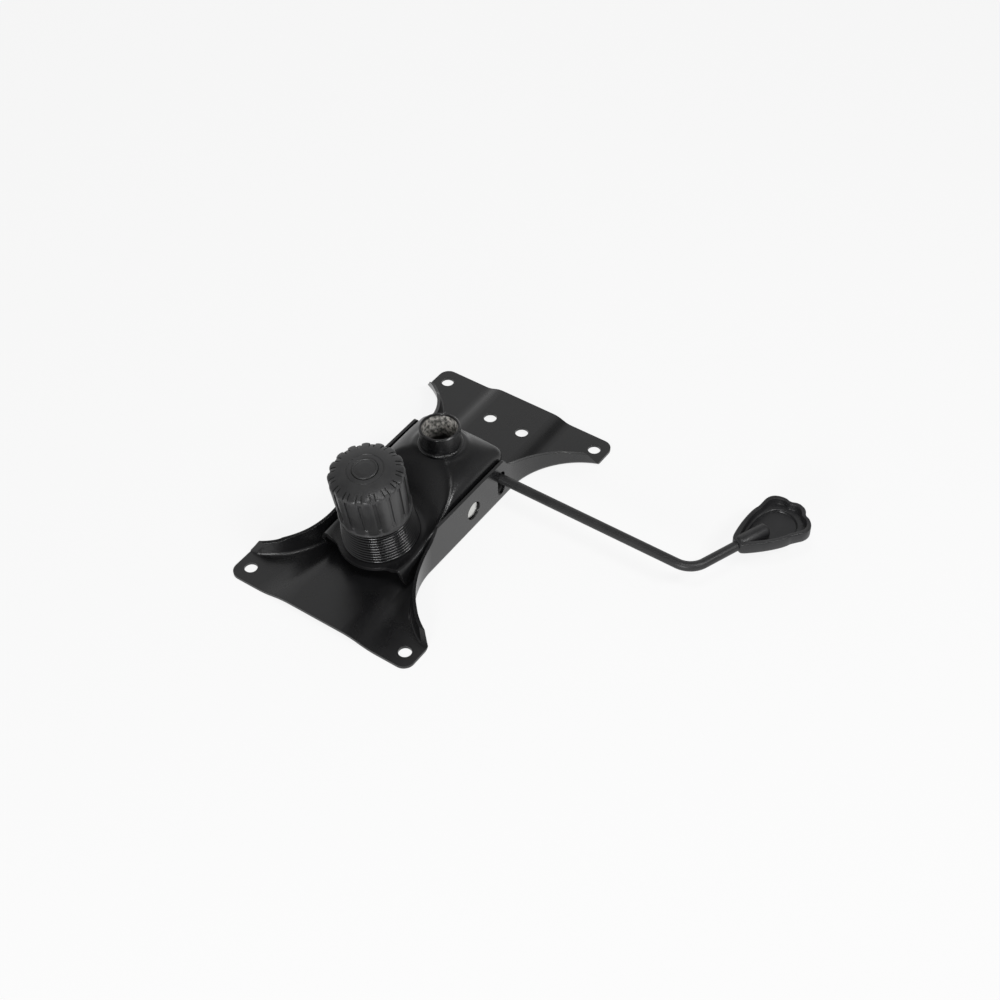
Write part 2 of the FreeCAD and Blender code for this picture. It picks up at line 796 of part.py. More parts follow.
def knob_cutter(points, width, angle):
    # points: radius and height pairs of a radial slot
    corners = [Vector(radius, -width / 2, height) for radius, height in points]
    face = Part.Face(Part.makePolygon(corners + corners[:1]))
    slot = face.extrude(Vector(0, width, 0))
    slot.rotate(Vector(0, 0, 0), along_z, angle)
    return slot


def build_tension_knob():
    body = knob_blank().common(lobed_prism())
    period = 360 / flute_count
    groove_low = knob_low + 6.0
    groove_high = knob_rim - 5.0
    outside = knob_rim_radius + 3
    groove = [(knob_low_radius - 0.5, groove_low), (knob_rim_radius - 1.5, groove_high),
              (outside, groove_high), (outside, groove_low)]
    slot = [(knob_rim_radius - 1.3, groove_high), (knob_rim_radius - 1.6, knob_rim - 1.4),
            (23.0, knob_top - 2.4), (23.0, knob_top + 2), (outside, knob_top + 2),
            (outside, groove_high)]
    cuts = []
    for flute in range(flute_count):
        ridge = (flute + 0.5) * period
        cuts.append(knob_cutter(groove, 0.9, ridge))
        cuts.append(knob_cutter(slot, 0.9, ridge - slot_offset))
        cuts.append(knob_cutter(slot, 0.9, ridge + slot_offset))
    body = body.cut(cuts)
    body = body.cut(hexagon(nut_width + 0.1, nut_low - 1, nut_height + 1.05))
    return on_bolt(body)


def build_knob_cap():
    low = 76.45
    top = knob_top + 0.9
    rim = cap_radius
    edges = []
    outline = [Vector(0, 0, low), Vector(rim, 0, low), Vector(rim, 0, top - 0.4),
               Vector(rim - 0.4, 0, top), Vector(rim - 1.2, 0, top), Vector(rim - 1.6, 0, top - 0.5)]
    for first, last in zip(outline, outline[1:]):
        edges.append(line(first, last))
    flat = Vector(rim * 0.55, 0, top - 0.2)
    middle = Vector(0, 0, top - 0.2)
    edges += [line(outline[-1], flat), line(flat, middle), line(middle, outline[0])]
    return on_bolt(turned_edges(edges))


# Lever

def handle_direction():
    turn = math.radians(handle_angle)
    return Vector(math.cos(turn), math.sin(turn), 0)


def rounded_path(points, radii):
    edges = []
    start = points[0]
    for index, radius in enumerate(radii):
        corner = points[index + 1]
        back = (points[index] - corner).normalize()
        ahead = (points[index + 2] - corner).normalize()
        half = back.getAngle(ahead) / 2
        trim = radius / math.tan(half)
        first = corner + back * trim
        last = corner + ahead * trim
        centre_way = (back + ahead).normalize()
        middle = corner + centre_way * (radius / math.sin(half) - radius)
        edges.append(line(start, first))
        edges.append(arc(first, middle, last))
        start = last
    edges.append(line(start, points[-1]))
    return Part.Wire(edges)


def build_lever_rod():
    corner = Vector(lever_corner_x, lever_y, lever_z)
    end = corner + handle_direction() * (handle_length_to_mouth + rod_in_handle - 0.2)
    pad_centre = Vector(0, socket_y, lever_z)
    points = [pad_centre + Vector(0, 3, 0), Vector(crank_x, lever_y, lever_z), corner, end]
    path = rounded_path(points, [crank_radius, lever_corner_radius])
    start = path.Edges[0]
    direction = start.tangentAt(start.FirstParameter)
    ring = Part.Wire(Part.makeCircle(rod_radius, points[0], direction))
    rod = path.makePipeShell([ring], True, True)
    pad = cylinder(7.0, pad_centre - Vector(0, 0, 2), along_z, 4)
    return rod.fuse(pad)


def handle_block(inset, low, high):
    # paddle: sides as distance from the mouth and half width, then three lobes
    sides = [(0.0, 0.225), (0.19, 0.488), (0.343, 0.673), (0.495, 0.815), (0.648, 0.898), (0.838, 1.0)]
    far = handle_lobe_place
    right = [Vector(along * far, half * handle_half_width - inset, low) for along, half in sides]
    if inset > 0:
        right[0] = Vector(inset, 2.5, low)
    left = [Vector(point.x, -point.y, low) for point in right]
    upper = Part.BSplineCurve()
    upper.interpolate(right)
    lower = Part.BSplineCurve()
    lower.interpolate(left)
    edges = [upper.toShape(), line(right[-1], Vector(far, right[-1].y, low)),
             line(Vector(far, right[-1].y, low), Vector(far, left[-1].y, low)),
             line(Vector(far, left[-1].y, low), left[-1]), lower.toShape(),
             line(left[0], right[0])]
    body = closed_face(edges).extrude(Vector(0, 0, high - low))
    lobes = []
    aside = 0.56 * handle_half_width
    for along, side in ((far + 2.5, 0.0), (far, aside), (far, -aside)):
        spot = Vector(along, side, low)
        lobes.append(cylinder(handle_lobe_radius - inset, spot, along_z, high - low))
    return body.fuse(lobes).removeSplitter()


def valley_edges(solid):
    # upright inside corners between the lobes
    found = []
    for edge in solid.Edges:
        first = edge.Vertexes[0].Point
        last = edge.Vertexes[-1].Point
        upright = abs(first.z - last.z) > 1 and math.hypot(first.x - last.x, first.y - last.y) < 0.01
        if upright and first.x > 56 and 3 < abs(first.y) < 14:
            found.append(edge)
    return found


def build_lever_handle():
    low = lever_z - handle_height / 2
    high = lever_z + handle_height / 2
    outer = handle_block(0.0, low, high)
    outer = outer.makeFillet(2.0, valley_edges(outer))
    under = [edge for edge in outer.Edges if abs(edge.BoundBox.ZMax - low) < 0.01]
    outer = outer.makeChamfer(2.2, under)
    dish = handle_block(handle_wall, low + handle_floor, high + 5)
    dish = dish.makeFillet(1.5, valley_edges(dish))
    boss = cylinder(5.8, Vector(2.0, 0, lever_z), along_x, 28.0)
    body = outer.cut(dish).fuse(boss.common(outer))
    body = body.cut(cylinder(rod_radius + 0.05, Vector(-1, 0, lever_z), along_x, rod_in_handle + 1))
    mouth = Vector(lever_corner_x, lever_y, 0) + handle_direction() * handle_length_to_mouth
    placed = body.removeSplitter()
    placed.rotate(Vector(0, 0, 0), along_z, handle_angle)
    placed.translate(mouth)
    return placed


def build_lever_bush():
    # ball with both ends cut flat, turned about the rod
    middle = housing_half_width - housing_sheet / 2
    half = ball_width / 2
    bore = rod_radius + running_gap
    face_radius = math.sqrt(ball_radius ** 2 - half ** 2)
    edges = [
        arc(Vector(face_radius, 0, -half), Vector(ball_radius, 0, 0), Vector(face_radius, 0, half)),
        line(Vector(face_radius, 0, half), Vector(bore, 0, half)),
        line(Vector(bore, 0, half), Vector(bore, 0, -half)),
        line(Vector(bore, 0, -half), Vector(face_radius, 0, -half)),
    ]
    ball = turned_edges(edges)
    ball.rotate(Vector(0, 0, 0), along_y, 90)
    ball.translate(Vector(middle, lever_y, lever_z))
    return ball


def build_lever_clip():
    ring = cylinder(rod_radius + clip_reach, Vector(20.4, lever_y, lever_z), along_x, 1.2)
    return ring.cut(cylinder(rod_radius + 0.02, Vector(10, lever_y, lever_z), along_x, 20))


# Buffers

def rest_buffer_top(y):
    # under the tongue as it stands at rest, measured at the buffer's front edge
    sheet = housing_sheet / math.cos(math.radians(knob_angle))
    return tongue_height(y - rest_buffer_radius) - sheet - rest_buffer_gap


def tilt_buffer_top():
    # under the housing's rear wall as it comes down at full tilt
    turn = math.radians(tilt_travel)
    down = (housing_rear - pivot_y) * math.sin(turn)
    return pivot_z + (rear_wall_bottom - pivot_z) * math.cos(turn) - down - tilt_buffer_gap


def buffer_pair(x, y, radius, top):
    low = strip_rise + seat_sheet
    profile = [(0, low), (radius, low), (radius - 0.3, top - 1.0), (radius - 1.3, top), (0, top)]
    one = turned(profile, Vector(x, y, 0))
    return Part.makeCompound([one, mirrored_x(one)])


save("seat_plate", build_seat_plate())
save("tilt_housing", build_tilt_housing())
save("column_socket", build_column_socket())
save("socket_weld_ring", build_weld_ring())
save("socket_brace", build_socket_brace())
save("pivot_axle", build_pivot_axle())
save("axle_bushes", build_axle_bushes())
save("axle_clips", build_axle_clips())
save("tension_bolt", build_tension_bolt())
save("bolt_stop_ring", build_bolt_stop_ring())
save("spring_seat", spring_cup(coil_low - fit_gap - seat_cup_sheet, coil_low - fit_gap,
                               coil_low + cup_collar))
save("tension_spring", build_tension_spring())
save("spring_sleeve", build_spring_sleeve())
save("pressure_washer", spring_cup(coil_high + fit_gap, washer_high, coil_high - cup_collar))
save("thrust_washer", build_thrust_washer())
save("knob_nut", build_knob_nut())
save("tension_knob", build_tension_knob())
save("knob_cap", build_knob_cap())
save("lever_rod", build_lever_rod())
save("lever_handle", build_lever_handle())
save("lever_bush", build_lever_bush())
save("lever_clip", build_lever_clip())
rest_buffer_y = housing_front + rest_buffer_inset
tilt_buffer_y = housing_rear - tilt_buffer_inset
save("rest_buffers", buffer_pair(rest_buffer_x, rest_buffer_y, rest_buffer_radius,
                                 rest_buffer_top(rest_buffer_y)))
save("tilt_buffers", buffer_pair(tilt_buffer_x, tilt_buffer_y, tilt_buffer_radius,
                                 tilt_buffer_top()))
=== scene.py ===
import bpy
import bmesh
import math
from mathutils import Matrix, Quaternion, Vector


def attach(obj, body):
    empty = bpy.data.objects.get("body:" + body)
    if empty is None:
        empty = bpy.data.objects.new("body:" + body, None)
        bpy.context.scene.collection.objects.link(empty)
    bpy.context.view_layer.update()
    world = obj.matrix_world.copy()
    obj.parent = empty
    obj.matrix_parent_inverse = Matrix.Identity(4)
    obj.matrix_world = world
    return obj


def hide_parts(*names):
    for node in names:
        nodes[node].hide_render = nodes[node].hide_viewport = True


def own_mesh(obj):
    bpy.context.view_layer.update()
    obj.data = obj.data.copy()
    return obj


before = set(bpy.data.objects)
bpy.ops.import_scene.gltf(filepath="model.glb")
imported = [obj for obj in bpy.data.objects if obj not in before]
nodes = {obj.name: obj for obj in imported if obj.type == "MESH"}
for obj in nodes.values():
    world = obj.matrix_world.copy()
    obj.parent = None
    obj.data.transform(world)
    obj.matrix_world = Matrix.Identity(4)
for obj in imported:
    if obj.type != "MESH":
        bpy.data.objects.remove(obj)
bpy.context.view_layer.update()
mm = 0.001
print("stage: frame loaded")


# Camera, fitted to the photograph

cameraPlan = {"aim": (0.0424, 0.0402, 0.0), "azimuth": 35.655, "elevation": 45.74, "distance": 1.3706,
              "roll": -1.184, "lens": 61.15, "sensor": 36.0, "nearest": 0.05}


def makeCamera(plan):
    turn = math.radians(plan["azimuth"])
    rise = math.radians(plan["elevation"])
    away = Vector((math.sin(turn) * math.cos(rise), -math.cos(turn) * math.cos(rise), math.sin(rise)))
    data = bpy.data.cameras.new("photoCamera")
    data.lens = plan["lens"]
    data.sensor_width = plan["sensor"]
    data.clip_start = plan["nearest"]
    camera = bpy.data.objects.new("photoCamera", data)
    bpy.context.scene.collection.objects.link(camera)
    camera.location = Vector(plan["aim"]) + away * plan["distance"]
    facing = (-away).to_track_quat("-Z", "Y")
    camera.rotation_mode = "QUATERNION"
    camera.rotation_quaternion = facing @ Quaternion((0, 0, 1), math.radians(plan["roll"]))
    bpy.context.scene.camera = camera


makeCamera(cameraPlan)


# Shader helpers

def addNode(tree, kind, values=None, **settings):
    # settings go first, because they decide which inputs there are
    node = tree.nodes.new("ShaderNode" + kind)
    for key, value in settings.items():
        setattr(node, key, value)
    for socket, value in (values or {}).items():
        node.inputs[socket].default_value = value
    return node


def addRange(tree, low, high, start=0.0, end=1.0, **settings):
    values = {"From Min": low, "From Max": high, "To Min": start, "To Max": end}
    return addNode(tree, "MapRange", values, **settings)


def wire(tree, *links):
    # each link: a node and its output, another node and its input
    for source, output, target, socket in links:
        tree.links.new(source.outputs[output], target.inputs[socket])


grainPlan = {"inputs": {"Dark": "Color", "Light": "Color", "Patch Scale": "Float", "Grain Scale": "Float",
                        "Rough Low": "Float", "Rough High": "Float"},
             "outputs": {"Color": "Color", "Roughness": "Float", "Height": "Float"},
             "patchDetail": 4.0, "grainDetail": 3.0, "grainRoughness": 0.6,
             "shadeRange": (0.35, 0.68), "glossRange": (0.3, 0.7)}


def makeGrainGroup(plan):
    # two sizes of noise: slow patches for colour and gloss, fine grain for the surface itself
    group = bpy.data.node_groups.new("mouldGrain", "ShaderNodeTree")
    for way, sockets in (("INPUT", plan["inputs"]), ("OUTPUT", plan["outputs"])):
        for name, kind in sockets.items():
            group.interface.new_socket(name, in_out=way, socket_type="NodeSocket" + kind)
    inside = group.nodes.new("NodeGroupInput")
    outside = group.nodes.new("NodeGroupOutput")
    place = addNode(group, "TexCoord")
    patch = addNode(group, "TexNoise", {"Detail": plan["patchDetail"]})
    grain = addNode(group, "TexNoise", {"Detail": plan["grainDetail"], "Roughness": plan["grainRoughness"]})
    spread = addRange(group, *plan["shadeRange"])
    shade = addNode(group, "Mix", data_type="RGBA")
    gloss = addRange(group, *plan["glossRange"])
    wire(group, (place, "Object", patch, "Vector"), (inside, "Patch Scale", patch, "Scale"),
         (place, "Object", grain, "Vector"), (inside, "Grain Scale", grain, "Scale"),
         (patch, "Fac", spread, "Value"), (spread, "Result", shade, "Factor"),
         (inside, "Dark", shade, "A"), (inside, "Light", shade, "B"),
         (patch, "Fac", gloss, "Value"), (inside, "Rough Low", gloss, "To Min"),
         (inside, "Rough High", gloss, "To Max"),
         (shade, "Result", outside, "Color"), (gloss, "Result", outside, "Roughness"),
         (grain, "Fac", outside, "Height"))
    return group


mouldGrain = makeGrainGroup(grainPlan)


def grainMaterial(name, finish):
    material = bpy.data.materials.new(name)
    material.use_nodes = True
    tree = material.node_tree
    shader = tree.nodes["Principled BSDF"]
    shader.inputs["Metallic"].default_value = finish["metallic"]
    shader.inputs["Specular IOR Level"].default_value = finish["specular"]
    grain = addNode(tree, "Group", {
        "Dark": (*finish["dark"], 1), "Light": (*finish["light"], 1),
        "Patch Scale": finish["patchScale"], "Grain Scale": finish["grainScale"],
        "Rough Low": finish["rough"][0], "Rough High": finish["rough"][1]}, node_tree=mouldGrain)
    bump = addNode(tree, "Bump", {"Strength": 1.0, "Distance": finish["grainDepth"]})
    wire(tree, (grain, "Color", shader, "Base Color"), (grain, "Roughness", shader, "Roughness"),
         (grain, "Height", bump, "Height"), (bump, "Normal", shader, "Normal"))
    return material


# dark and light are the colours of the slow patches; depth of the grain in metres
powderCoat = {"metallic": 0.0, "specular": 0.5, "rough": (0.24, 0.32),
              "patchScale": 30.0, "grainScale": 1800.0, "grainDepth": 0.00004,
              "dark": (0.0055, 0.0055, 0.006), "light": (0.0095, 0.0095, 0.01)}
knobPlastic = {"metallic": 0.0, "specular": 0.5, "rough": (0.34, 0.44),
               "patchScale": 60.0, "grainScale": 1500.0, "grainDepth": 0.00007,
               "dark": (0.022, 0.022, 0.0225), "light": (0.03, 0.03, 0.0305)}
handlePlastic = {"metallic": 0.0, "specular": 0.45, "rough": (0.34, 0.44),
                 "patchScale": 60.0, "grainScale": 1300.0, "grainDepth": 0.00005,
                 "dark": (0.012, 0.012, 0.013), "light": (0.018, 0.018, 0.019)}
sleevePlastic = {"metallic": 0.0, "specular": 0.7, "rough": (0.12, 0.17),
                 "patchScale": 60.0, "grainScale": 1300.0, "grainDepth": 0.00002,
                 "dark": (0.005, 0.005, 0.0055), "light": (0.008, 0.008, 0.0085)}
rodCoat = {"metallic": 0.0, "specular": 0.5, "rough": (0.42, 0.5),
           "patchScale": 50.0, "grainScale": 2000.0, "grainDepth": 0.00002,
           "dark": (0.012, 0.012, 0.0125), "light": (0.017, 0.017, 0.0175)}
zincPlate = {"metallic": 1.0, "specular": 0.5, "rough": (0.24, 0.36),
             "patchScale": 80.0, "grainScale": 900.0, "grainDepth": 0.00002,
             "dark": (0.56, 0.56, 0.54), "light": (0.72, 0.72, 0.7)}
springSteel = {"metallic": 1.0, "specular": 0.5, "rough": (0.3, 0.42),
               "patchScale": 80.0, "grainScale": 900.0, "grainDepth": 0.00002,
               "dark": (0.12, 0.12, 0.13), "light": (0.2, 0.2, 0.21)}
blackNylon = {"metallic": 0.0, "specular": 0.4, "rough": (0.45, 0.55),
              "patchScale": 60.0, "grainScale": 1300.0, "grainDepth": 0.00002,
              "dark": (0.01, 0.01, 0.0105), "light": (0.016, 0.016, 0.0165)}
softRubber = {"metallic": 0.0, "specular": 0.25, "rough": (0.6, 0.75),
              "patchScale": 60.0, "grainScale": 1300.0, "grainDepth": 0.00005,
              "dark": (0.005, 0.005, 0.005), "light": (0.009, 0.009, 0.009)}


# Floor, backdrop and light

stagePlan = {"floorSize": 40.0, "white": 0.99, "shadowShare": 0.12, "bounce": 0.75,
             # the paper rises behind the object; the room above it goes dark overhead
             "wallAway": 3.2, "wallTurn": 35.655, "wallWide": 10, "wallHigh": 1.5,
             "skyRange": (0.45, 0.95), "lowSky": 0.4, "highSky": 0.1}


def makePaper(plan):
    # white where it is seen, mirrored or seen through, with a share of its real shadow; plain matt for the rest
    material = bpy.data.materials.new("paperWhite")
    material.use_nodes = True
    tree = material.node_tree
    tree.nodes.clear()
    white, bounce = plan["white"], plan["bounce"]
    output = addNode(tree, "OutputMaterial")
    seen = addNode(tree, "MixShader")
    paper = addNode(tree, "MixShader", {"Fac": plan["shadowShare"]})
    lamp = addNode(tree, "Emission", {"Color": (white, white, white, 1)})
    matt = addNode(tree, "BsdfDiffuse", {"Color": (bounce, bounce, bounce, 1)})
    path = addNode(tree, "LightPath")
    mirrored = addNode(tree, "Math", operation="MAXIMUM")
    sees = addNode(tree, "Math", operation="MAXIMUM")
    wire(tree, (path, "Is Glossy Ray", mirrored, 0), (path, "Is Transmission Ray", mirrored, 1),
         (path, "Is Camera Ray", sees, 0), (mirrored, "Value", sees, 1),
         (lamp, "Emission", paper, 1), (matt, "BSDF", paper, 2),
         (sees, "Value", seen, "Fac"), (matt, "BSDF", seen, 1), (paper, "Shader", seen, 2),
         (seen, "Shader", output, "Surface"))
    return material


def makeStage(plan):
    paper = makePaper(plan)
    bpy.ops.object.select_all(action="DESELECT")
    bpy.ops.mesh.primitive_plane_add(size=plan["floorSize"], location=(0, 0, 0))
    floor = bpy.context.object
    floor.name = "paperFloor"
    turn = math.radians(plan["wallTurn"])
    away = Vector((-math.sin(turn), math.cos(turn), 0)) * plan["wallAway"]
    bpy.ops.mesh.primitive_plane_add(size=1, location=(away.x, away.y, plan["wallHigh"] / 2),
                                     rotation=(math.pi / 2, 0, turn))
    wall = bpy.context.object
    wall.name = "paperWall"
    wall.scale = (plan["wallWide"], plan["wallHigh"], 1)
    for piece in (floor, wall):
        piece.data.materials.append(paper)


def makeSky(plan):
    world = bpy.data.worlds.new("studioRoom")
    bpy.context.scene.world = world
    world.use_nodes = True
    tree = world.node_tree
    tree.nodes.clear()
    output = addNode(tree, "OutputWorld")
    soft = addNode(tree, "Background", {"Color": (1, 1, 1, 1)})
    place = addNode(tree, "TexCoord")
    parts = addNode(tree, "SeparateXYZ")
    fall = addRange(tree, *plan["skyRange"], plan["lowSky"], plan["highSky"], interpolation_type="SMOOTHSTEP")
    wire(tree, (place, "Generated", parts, "Vector"), (parts, "Z", fall, "Value"),
         (fall, "Result", soft, "Strength"), (soft, "Background", output, "Surface"))


# where it stands, what it is aimed at, size of its face, watts
lampPlan = {
    "softboxBack": ((-0.65, 0.9, 1.15), (0.0, 0.0, 0.03), (1.5, 1.1), 2.4),
    "softboxFront": ((0.42, -1.2, 0.5), (0.0, -0.05, 0.04), (0.35, 0.3), 8.0),
    "softboxTop": ((0.25, -0.28, 1.25), (0.02, 0.0, 0.04), (0.3, 0.3), 3.2),
    "softboxRight": ((0.95, 0.06, 1.0), (0.02, 0.0, 0.04), (0.3, 0.3), 6.5),
}


def makeLamp(name, stand, aim, size, watts):
    data = bpy.data.lights.new(name, "AREA")
    data.shape = "RECTANGLE"
    data.size, data.size_y = size
    data.energy = watts
    lamp = bpy.data.objects.new(name, data)
    bpy.context.scene.collection.objects.link(lamp)
    lamp.location = stand
    lamp.rotation_mode = "QUATERNION"
    lamp.rotation_quaternion = (Vector(aim) - Vector(stand)).to_track_quat("-Z", "Y")


makeStage(stagePlan)
makeSky(stagePlan)
for lampName, values in lampPlan.items():
    makeLamp(lampName, *values)
bpy.context.scene.view_settings.view_transform = "Standard"
print("stage: camera, floor and light")


# Modelling helpers: the steps that every new piece repeats

startSize = 2 * mm
mergeReach = 0.01 * mm


def clearSelection():
    if bpy.context.object and bpy.context.object.mode != "OBJECT":
        bpy.ops.object.mode_set(mode="OBJECT")
    bpy.ops.object.select_all(action="DESELECT")


def pick(piece):
    clearSelection()
    piece.select_set(True)
    bpy.context.view_layer.objects.active = piece


def turnedPiece(name, points, steps):
    # one vertex drawn out point by point, then spun round Z; points are radius and height in millimetres
    clearSelection()
    bpy.ops.mesh.primitive_plane_add(size=startSize, location=(0, 0, 0))
    piece = bpy.context.object
    piece.name = piece.data.name = name
    bpy.ops.object.mode_set(mode="EDIT")
    bpy.ops.mesh.merge(type="CENTER")
    bpy.ops.transform.translate(value=(points[0][0] * mm, 0, points[0][1] * mm))
    for before, after in zip(points, points[1:]):
        step = ((after[0] - before[0]) * mm, 0, (after[1] - before[1]) * mm)
        bpy.ops.mesh.extrude_vertices_move(TRANSFORM_OT_translate={"value": step})
    bpy.ops.mesh.select_all(action="SELECT")
    bpy.ops.mesh.spin(steps=steps, angle=2 * math.pi, center=(0, 0, 0), axis=(0, 0, 1))
    bpy.ops.mesh.select_all(action="SELECT")
    bpy.ops.mesh.remove_doubles(threshold=mergeReach)
    bpy.ops.mesh.normals_make_consistent(inside=False)
    bpy.ops.object.mode_set(mode="OBJECT")
    return piece


def meshPiece(name, work):
    # an object from a finished bmesh
    mesh = bpy.data.meshes.new(name)
    work.to_mesh(mesh)
    work.free()
    piece = bpy.data.objects.new(name, mesh)
    bpy.context.scene.collection.objects.link(piece)
    return piece


def smoothPiece(piece, angle):
    pick(piece)
    bpy.ops.object.shade_smooth_by_angle(angle=math.radians(angle))


def settle(piece, place, angle):
    # into its place, with the object itself left at the origin, and smooth up to the angle
    pick(piece)
    piece.matrix_world = place
    bpy.ops.object.transform_apply(location=True, rotation=True, scale=True)
    smoothPiece(piece, angle)


def applyModifier(piece, kind, **values):
    pick(piece)
    modifier = piece.modifiers.new(kind.title(), kind)
    for key, value in values.items():
        setattr(modifier, key, value)
    bpy.ops.object.modifier_apply(modifier=modifier.name)


def ease(share):
    # from 0 to 1 with no corner at either end
    share = min(max(share, 0.0), 1.0)
    return share * share * (3 - 2 * share)


# The tension bolt leans forward; what sits on it is modelled upright and then put in this place
boltLean = math.radians(8.6)
boltFoot = Vector((0, -59.1 * mm, 25.7 * mm))
boltPlace = Matrix.Translation(boltFoot) @ Matrix.Rotation(boltLean, 4, "X")


# Pressed housing: its back as one height over the plan, then walls down and sheet inwards

housingPlan = {"halfWidth": 39.2, "rear": 53.3, "front": -84.5, "corner": 8.0, "edgeRound": 5.0, "sheet": 3.0,
               "noseRadius": 34.7, "noseY": -59.1, "noseBlend": 10.0, "footZ": 25.7, "crown": 3,
               "socketY": 20.5, "plateau": 57.9, "plateauRadius": 19.0, "plateauBlend": 6.0,
               "pocketRadius": 37.5, "pocketSpread": 1.187, "pocketBlend": 6.0, "tongueBlend": 4.4,
               "rows": 120, "columns": 18, "wallRows": 8, "smoothAngle": 40,
               # steps in from the outline, closer together on the round
               "fromEdge": [0, 0.15, 0.6, 1.3, 2.2, 3.4, 4.8, 6.4, 8.2],
               # side views, front to rear, as Y and Z
               "edge": [(-52.0, 26.8), (-46.0, 29.2), (-38.0, 35.2), (-30.0, 39.4), (-8.0, 43.4), (20.5, 44.8),
                        (52.5, 45.0)],
               "middle": [(-52.0, 37.0), (-30.0, 51.0), (-8.0, 55.8), (4.0, 57.6), (20.5, 58.1), (34.0, 57.0),
                          (43.0, 53.4), (52.5, 46.4)],
               "skirt": [(-84.5, 17.5), (-84.0, 17.5), (-80.5, 8.0), (10.0, 8.0), (44.0, 15.0), (60.0, 15.0)],
               "rearSkirt": 19.0, "rearSlack": 0.01,
               # column socket and cross shaft: axis, middle, radius, depth
               "holes": [("Z", (0, 20.5, 55), 16.3, 30), ("X", (0, 2.5, 21.0), 10.2, 100)], "holeSteps": 96}


def heightAlong(view, y):
    # smooth curve through the points of a side view
    if y <= view[0][0]:
        return view[0][1]
    if y >= view[-1][0]:
        return view[-1][1]
    slopes = []
    for index in range(len(view)):
        before = view[max(index - 1, 0)]
        after = view[min(index + 1, len(view) - 1)]
        slopes.append((after[1] - before[1]) / (after[0] - before[0]))
    index = next(place for place in range(len(view) - 1) if y <= view[place + 1][0])
    y0, z0 = view[index]
    y1, z1 = view[index + 1]
    span = y1 - y0
    t = (y - y0) / span
    return ((2 * t ** 3 - 3 * t ** 2 + 1) * z0 + (t ** 3 - 2 * t ** 2 + t) * span * slopes[index]
            + (3 * t ** 2 - 2 * t ** 3) * z1 + (t ** 3 - t ** 2) * span * slopes[index + 1])


def straightAlong(view, y):
    for (y0, z0), (y1, z1) in zip(view, view[1:]):
        if y <= y1:
            return z0 + (z1 - z0) * max(y - y0, 0) / (y1 - y0)
    return view[-1][1]


def softMin(first, second, reach):
    overlap = max(reach - abs(first - second), 0.0) / reach
    return min(first, second) - overlap * overlap * reach / 4


def backHeight(x, y, plan):
    # the tongue, the domed back over it, the flat round the socket and the pocket round the sleeve
    tongue = plan["footZ"] + math.tan(boltLean) * (y - plan["noseY"])
    edge = heightAlong(plan["edge"], y) if y > plan["edge"][0][0] else tongue
    rise = heightAlong(plan["middle"], y) - edge
    across = min(abs(x) / plan["halfWidth"], 1.0)
    back = edge + rise * (1 - across ** plan["crown"])
    fromSocket = math.hypot(x, y - plan["socketY"])
    flat = ease((plan["plateauRadius"] + plan["plateauBlend"] - fromSocket) / plan["plateauBlend"])
    back += (plan["plateau"] - back) * flat
    ahead = (y - plan["noseY"]) / math.cos(boltLean)
    pocket = tongue + (math.hypot(x, ahead) - plan["pocketRadius"]) / plan["pocketSpread"]
    return -softMin(-tongue, -softMin(pocket, back, plan["pocketBlend"]), plan["tongueBlend"])


def edgeDrop(x, y, plan):
    # the round along the sides and the rear, by the distance from the outline
    innerX = abs(x) - (plan["halfWidth"] - plan["corner"])
    innerY = y - (plan["rear"] - plan["corner"])
    if innerX > 0 and innerY > 0:
        away = plan["corner"] - math.hypot(innerX, innerY)
    else:
        away = plan["corner"] - max(innerX, innerY)
    short = plan["edgeRound"] - min(max(away, 0), plan["edgeRound"])
    return plan["edgeRound"] - math.sqrt(plan["edgeRound"] ** 2 - short ** 2)


def frontEdge(x, plan):
    # the round nose, a small round the other way and the straight front beside it
    reach = plan["noseRadius"] + plan["noseBlend"]
    blendX = math.sqrt(reach ** 2 - (plan["noseY"] - plan["front"] + plan["noseBlend"]) ** 2)
    joinX = blendX * plan["noseRadius"] / reach
    if abs(x) < joinX:
        return plan["noseY"] - math.sqrt(plan["noseRadius"] ** 2 - x * x)
    if abs(x) < blendX:
        return plan["front"] - plan["noseBlend"] + math.sqrt(plan["noseBlend"] ** 2 - (blendX - abs(x)) ** 2)
    return plan["front"]


def rearEdge(x, plan):
    over = max(abs(x) - (plan["halfWidth"] - plan["corner"]), 0)
    return plan["rear"] - plan["corner"] + math.sqrt(max(plan["corner"] ** 2 - over * over, 0))


def wallFoot(x, y, plan):
    # lower edge of the walls; the rear wall ends higher than the sides
    low = straightAlong(plan["skirt"], y)
    if y > plan["rear"] - plan["corner"] - plan["rearSlack"]:
        low += (plan["rearSkirt"] - low) * ease((plan["halfWidth"] - abs(x)) / plan["corner"])
    return low


def housingGrid(plan, work):
    # the back's vertices, column by column, and its faces
    inner = [plan["halfWidth"] - step for step in plan["fromEdge"]]
    columns = plan["columns"]
    middle = [inner[-1] * (1 - step / columns) for step in range(1, columns + 1)]
    ends = [step / (plan["rear"] - plan["front"]) for step in plan["fromEdge"]]
    rows = plan["rows"]
    along = [row / rows * (1 - ends[-1]) for row in range(rows + 1)] + [1 - end for end in reversed(ends[:-1])]
    grid = []
    for x in [-x for x in inner + middle] + middle[-2::-1] + inner[::-1]:
        front, rear = frontEdge(x, plan), rearEdge(x, plan)
        column = []
        for share in along:
            y = front + (rear - front) * share
            z = backHeight(x, y, plan) - edgeDrop(x, y, plan)
            column.append(work.verts.new((x * mm, y * mm, z * mm)))
        grid.append(column)
    for left, right in zip(grid, grid[1:]):
        for row in range(len(along) - 1):
            work.faces.new((left[row], right[row], right[row + 1], left[row + 1]))
    return grid


